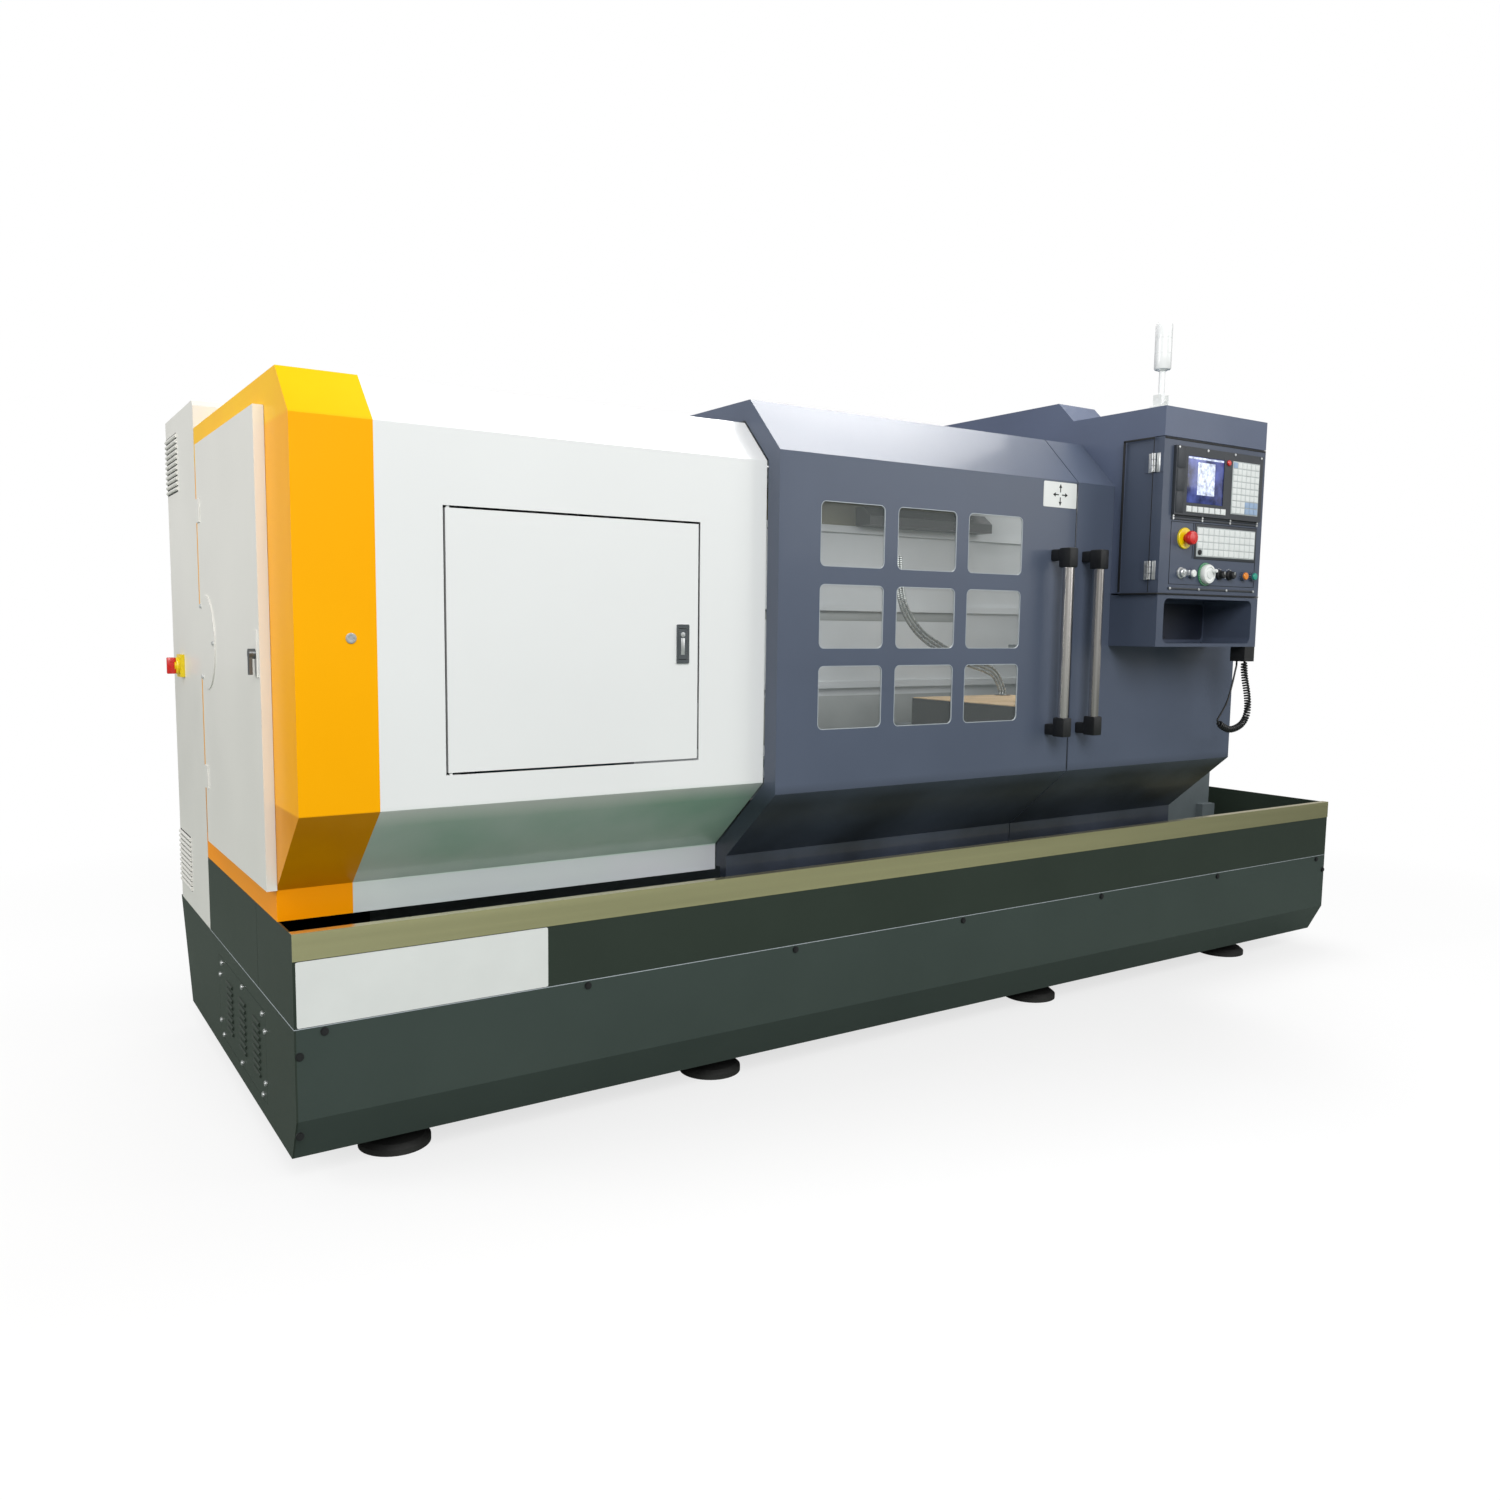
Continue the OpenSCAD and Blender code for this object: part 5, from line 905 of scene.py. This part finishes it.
# the floor glows white to the camera, more so far off, and gives other rays a darker tone
def floorFinish():
    mat = bpy.data.materials.new("floorPale")
    mat.use_nodes = True
    tree = mat.node_tree
    seen = addNode(tree, "ShaderNodeLightPath").outputs["Is Camera Ray"]
    tint = addNode(tree, "ShaderNodeMix", {"Factor": seen, "A": (*stage["shade"], 1),
                                           "B": (*stage["pale"], 1)}, data_type="RGBA")
    shader = tree.nodes["Principled BSDF"]
    feed(tree, shader, {"Roughness": stage["rough"], "Base Color": tint.outputs["Result"]})
    where = addNode(tree, "ShaderNodeTexCoord").outputs["Object"]
    reach = addNode(tree, "ShaderNodeVectorMath", {0: where}, operation="LENGTH").outputs["Value"]
    pale = addNode(tree, "ShaderNodeMapRange", {"Value": reach, "From Min": stage["near"],
                                                "From Max": stage["far"], "To Min": stage["least"]})
    share = addNode(tree, "ShaderNodeMath", {0: seen, 1: pale.outputs["Result"]}, operation="MULTIPLY")
    glow = addNode(tree, "ShaderNodeEmission").outputs["Emission"]
    mix = addNode(tree, "ShaderNodeMixShader",
                  {"Fac": share.outputs["Value"], 1: shader.outputs["BSDF"], 2: glow})
    feed(tree, tree.nodes["Material Output"], {"Surface": mix.outputs["Shader"]})
    return mat


# white to the camera and through the windows, dimmer as a light
def setWorld():
    world = bpy.data.worlds.new("studio")
    scene.world = world
    world.use_nodes = True
    tree = world.node_tree
    rays = addNode(tree, "ShaderNodeLightPath").outputs
    most = addNode(tree, "ShaderNodeMath", {0: rays["Is Camera Ray"], 1: rays["Is Transmission Ray"]},
                   operation="MAXIMUM")
    level = addNode(tree, "ShaderNodeMapRange", {"Value": most.outputs["Value"], "To Min": stage["sky"]})
    feed(tree, tree.nodes["Background"], {"Color": (1, 1, 1, 1), "Strength": level.outputs["Result"]})


half, z = stage["half"], stage["z"]
floorMesh = bpy.data.meshes.new("floor")
floorMesh.from_pydata([(-half, -half, z), (half, -half, z), (half, half, z), (-half, half, z)], [],
                      [(0, 1, 2, 3)])
floorMesh.materials.append(floorFinish())
floor = bpy.data.objects.new("floor", floorMesh)
scene.collection.objects.link(floor)
setWorld()
# area lights: place, aim, size and power
lights = {"key": ((-2.6, -6.0, 4.4), (-0.4, 0, 1.1), (3.5, 3.5), 300),
          "fill": ((4.0, -5.0, 3.2), (0.5, 0, 1.0), (3.0, 3.0), 60),
          "back": ((0.5, 4.5, 5.0), (0, 0, 1.2), (3.5, 3.5), 30),
          "side": ((-6.0, 0.5, 2.6), (-1.9, 0, 1.0), (2.5, 2.5), 115),
          "roof": ((1.1, -0.1, 4.6), (-0.6, -0.8, 1.7), (1.5, 2.4), 110),
          "inside": ((0.1, -0.25, 1.74), (0.1, -0.25, 0), (1.4, 0.5), 9)}
for name, (place, aim, size, power) in lights.items():
    data = bpy.data.lights.new(name, "AREA")
    data.energy = power
    data.shape = "RECTANGLE"
    data.size, data.size_y = size
    obj = bpy.data.objects.new(name, data)
    obj.location = place
    obj.rotation_euler = (Vector(aim) - Vector(place)).to_track_quat("-Z", "Y").to_euler()
    scene.collection.objects.link(obj)
print("stage lit")
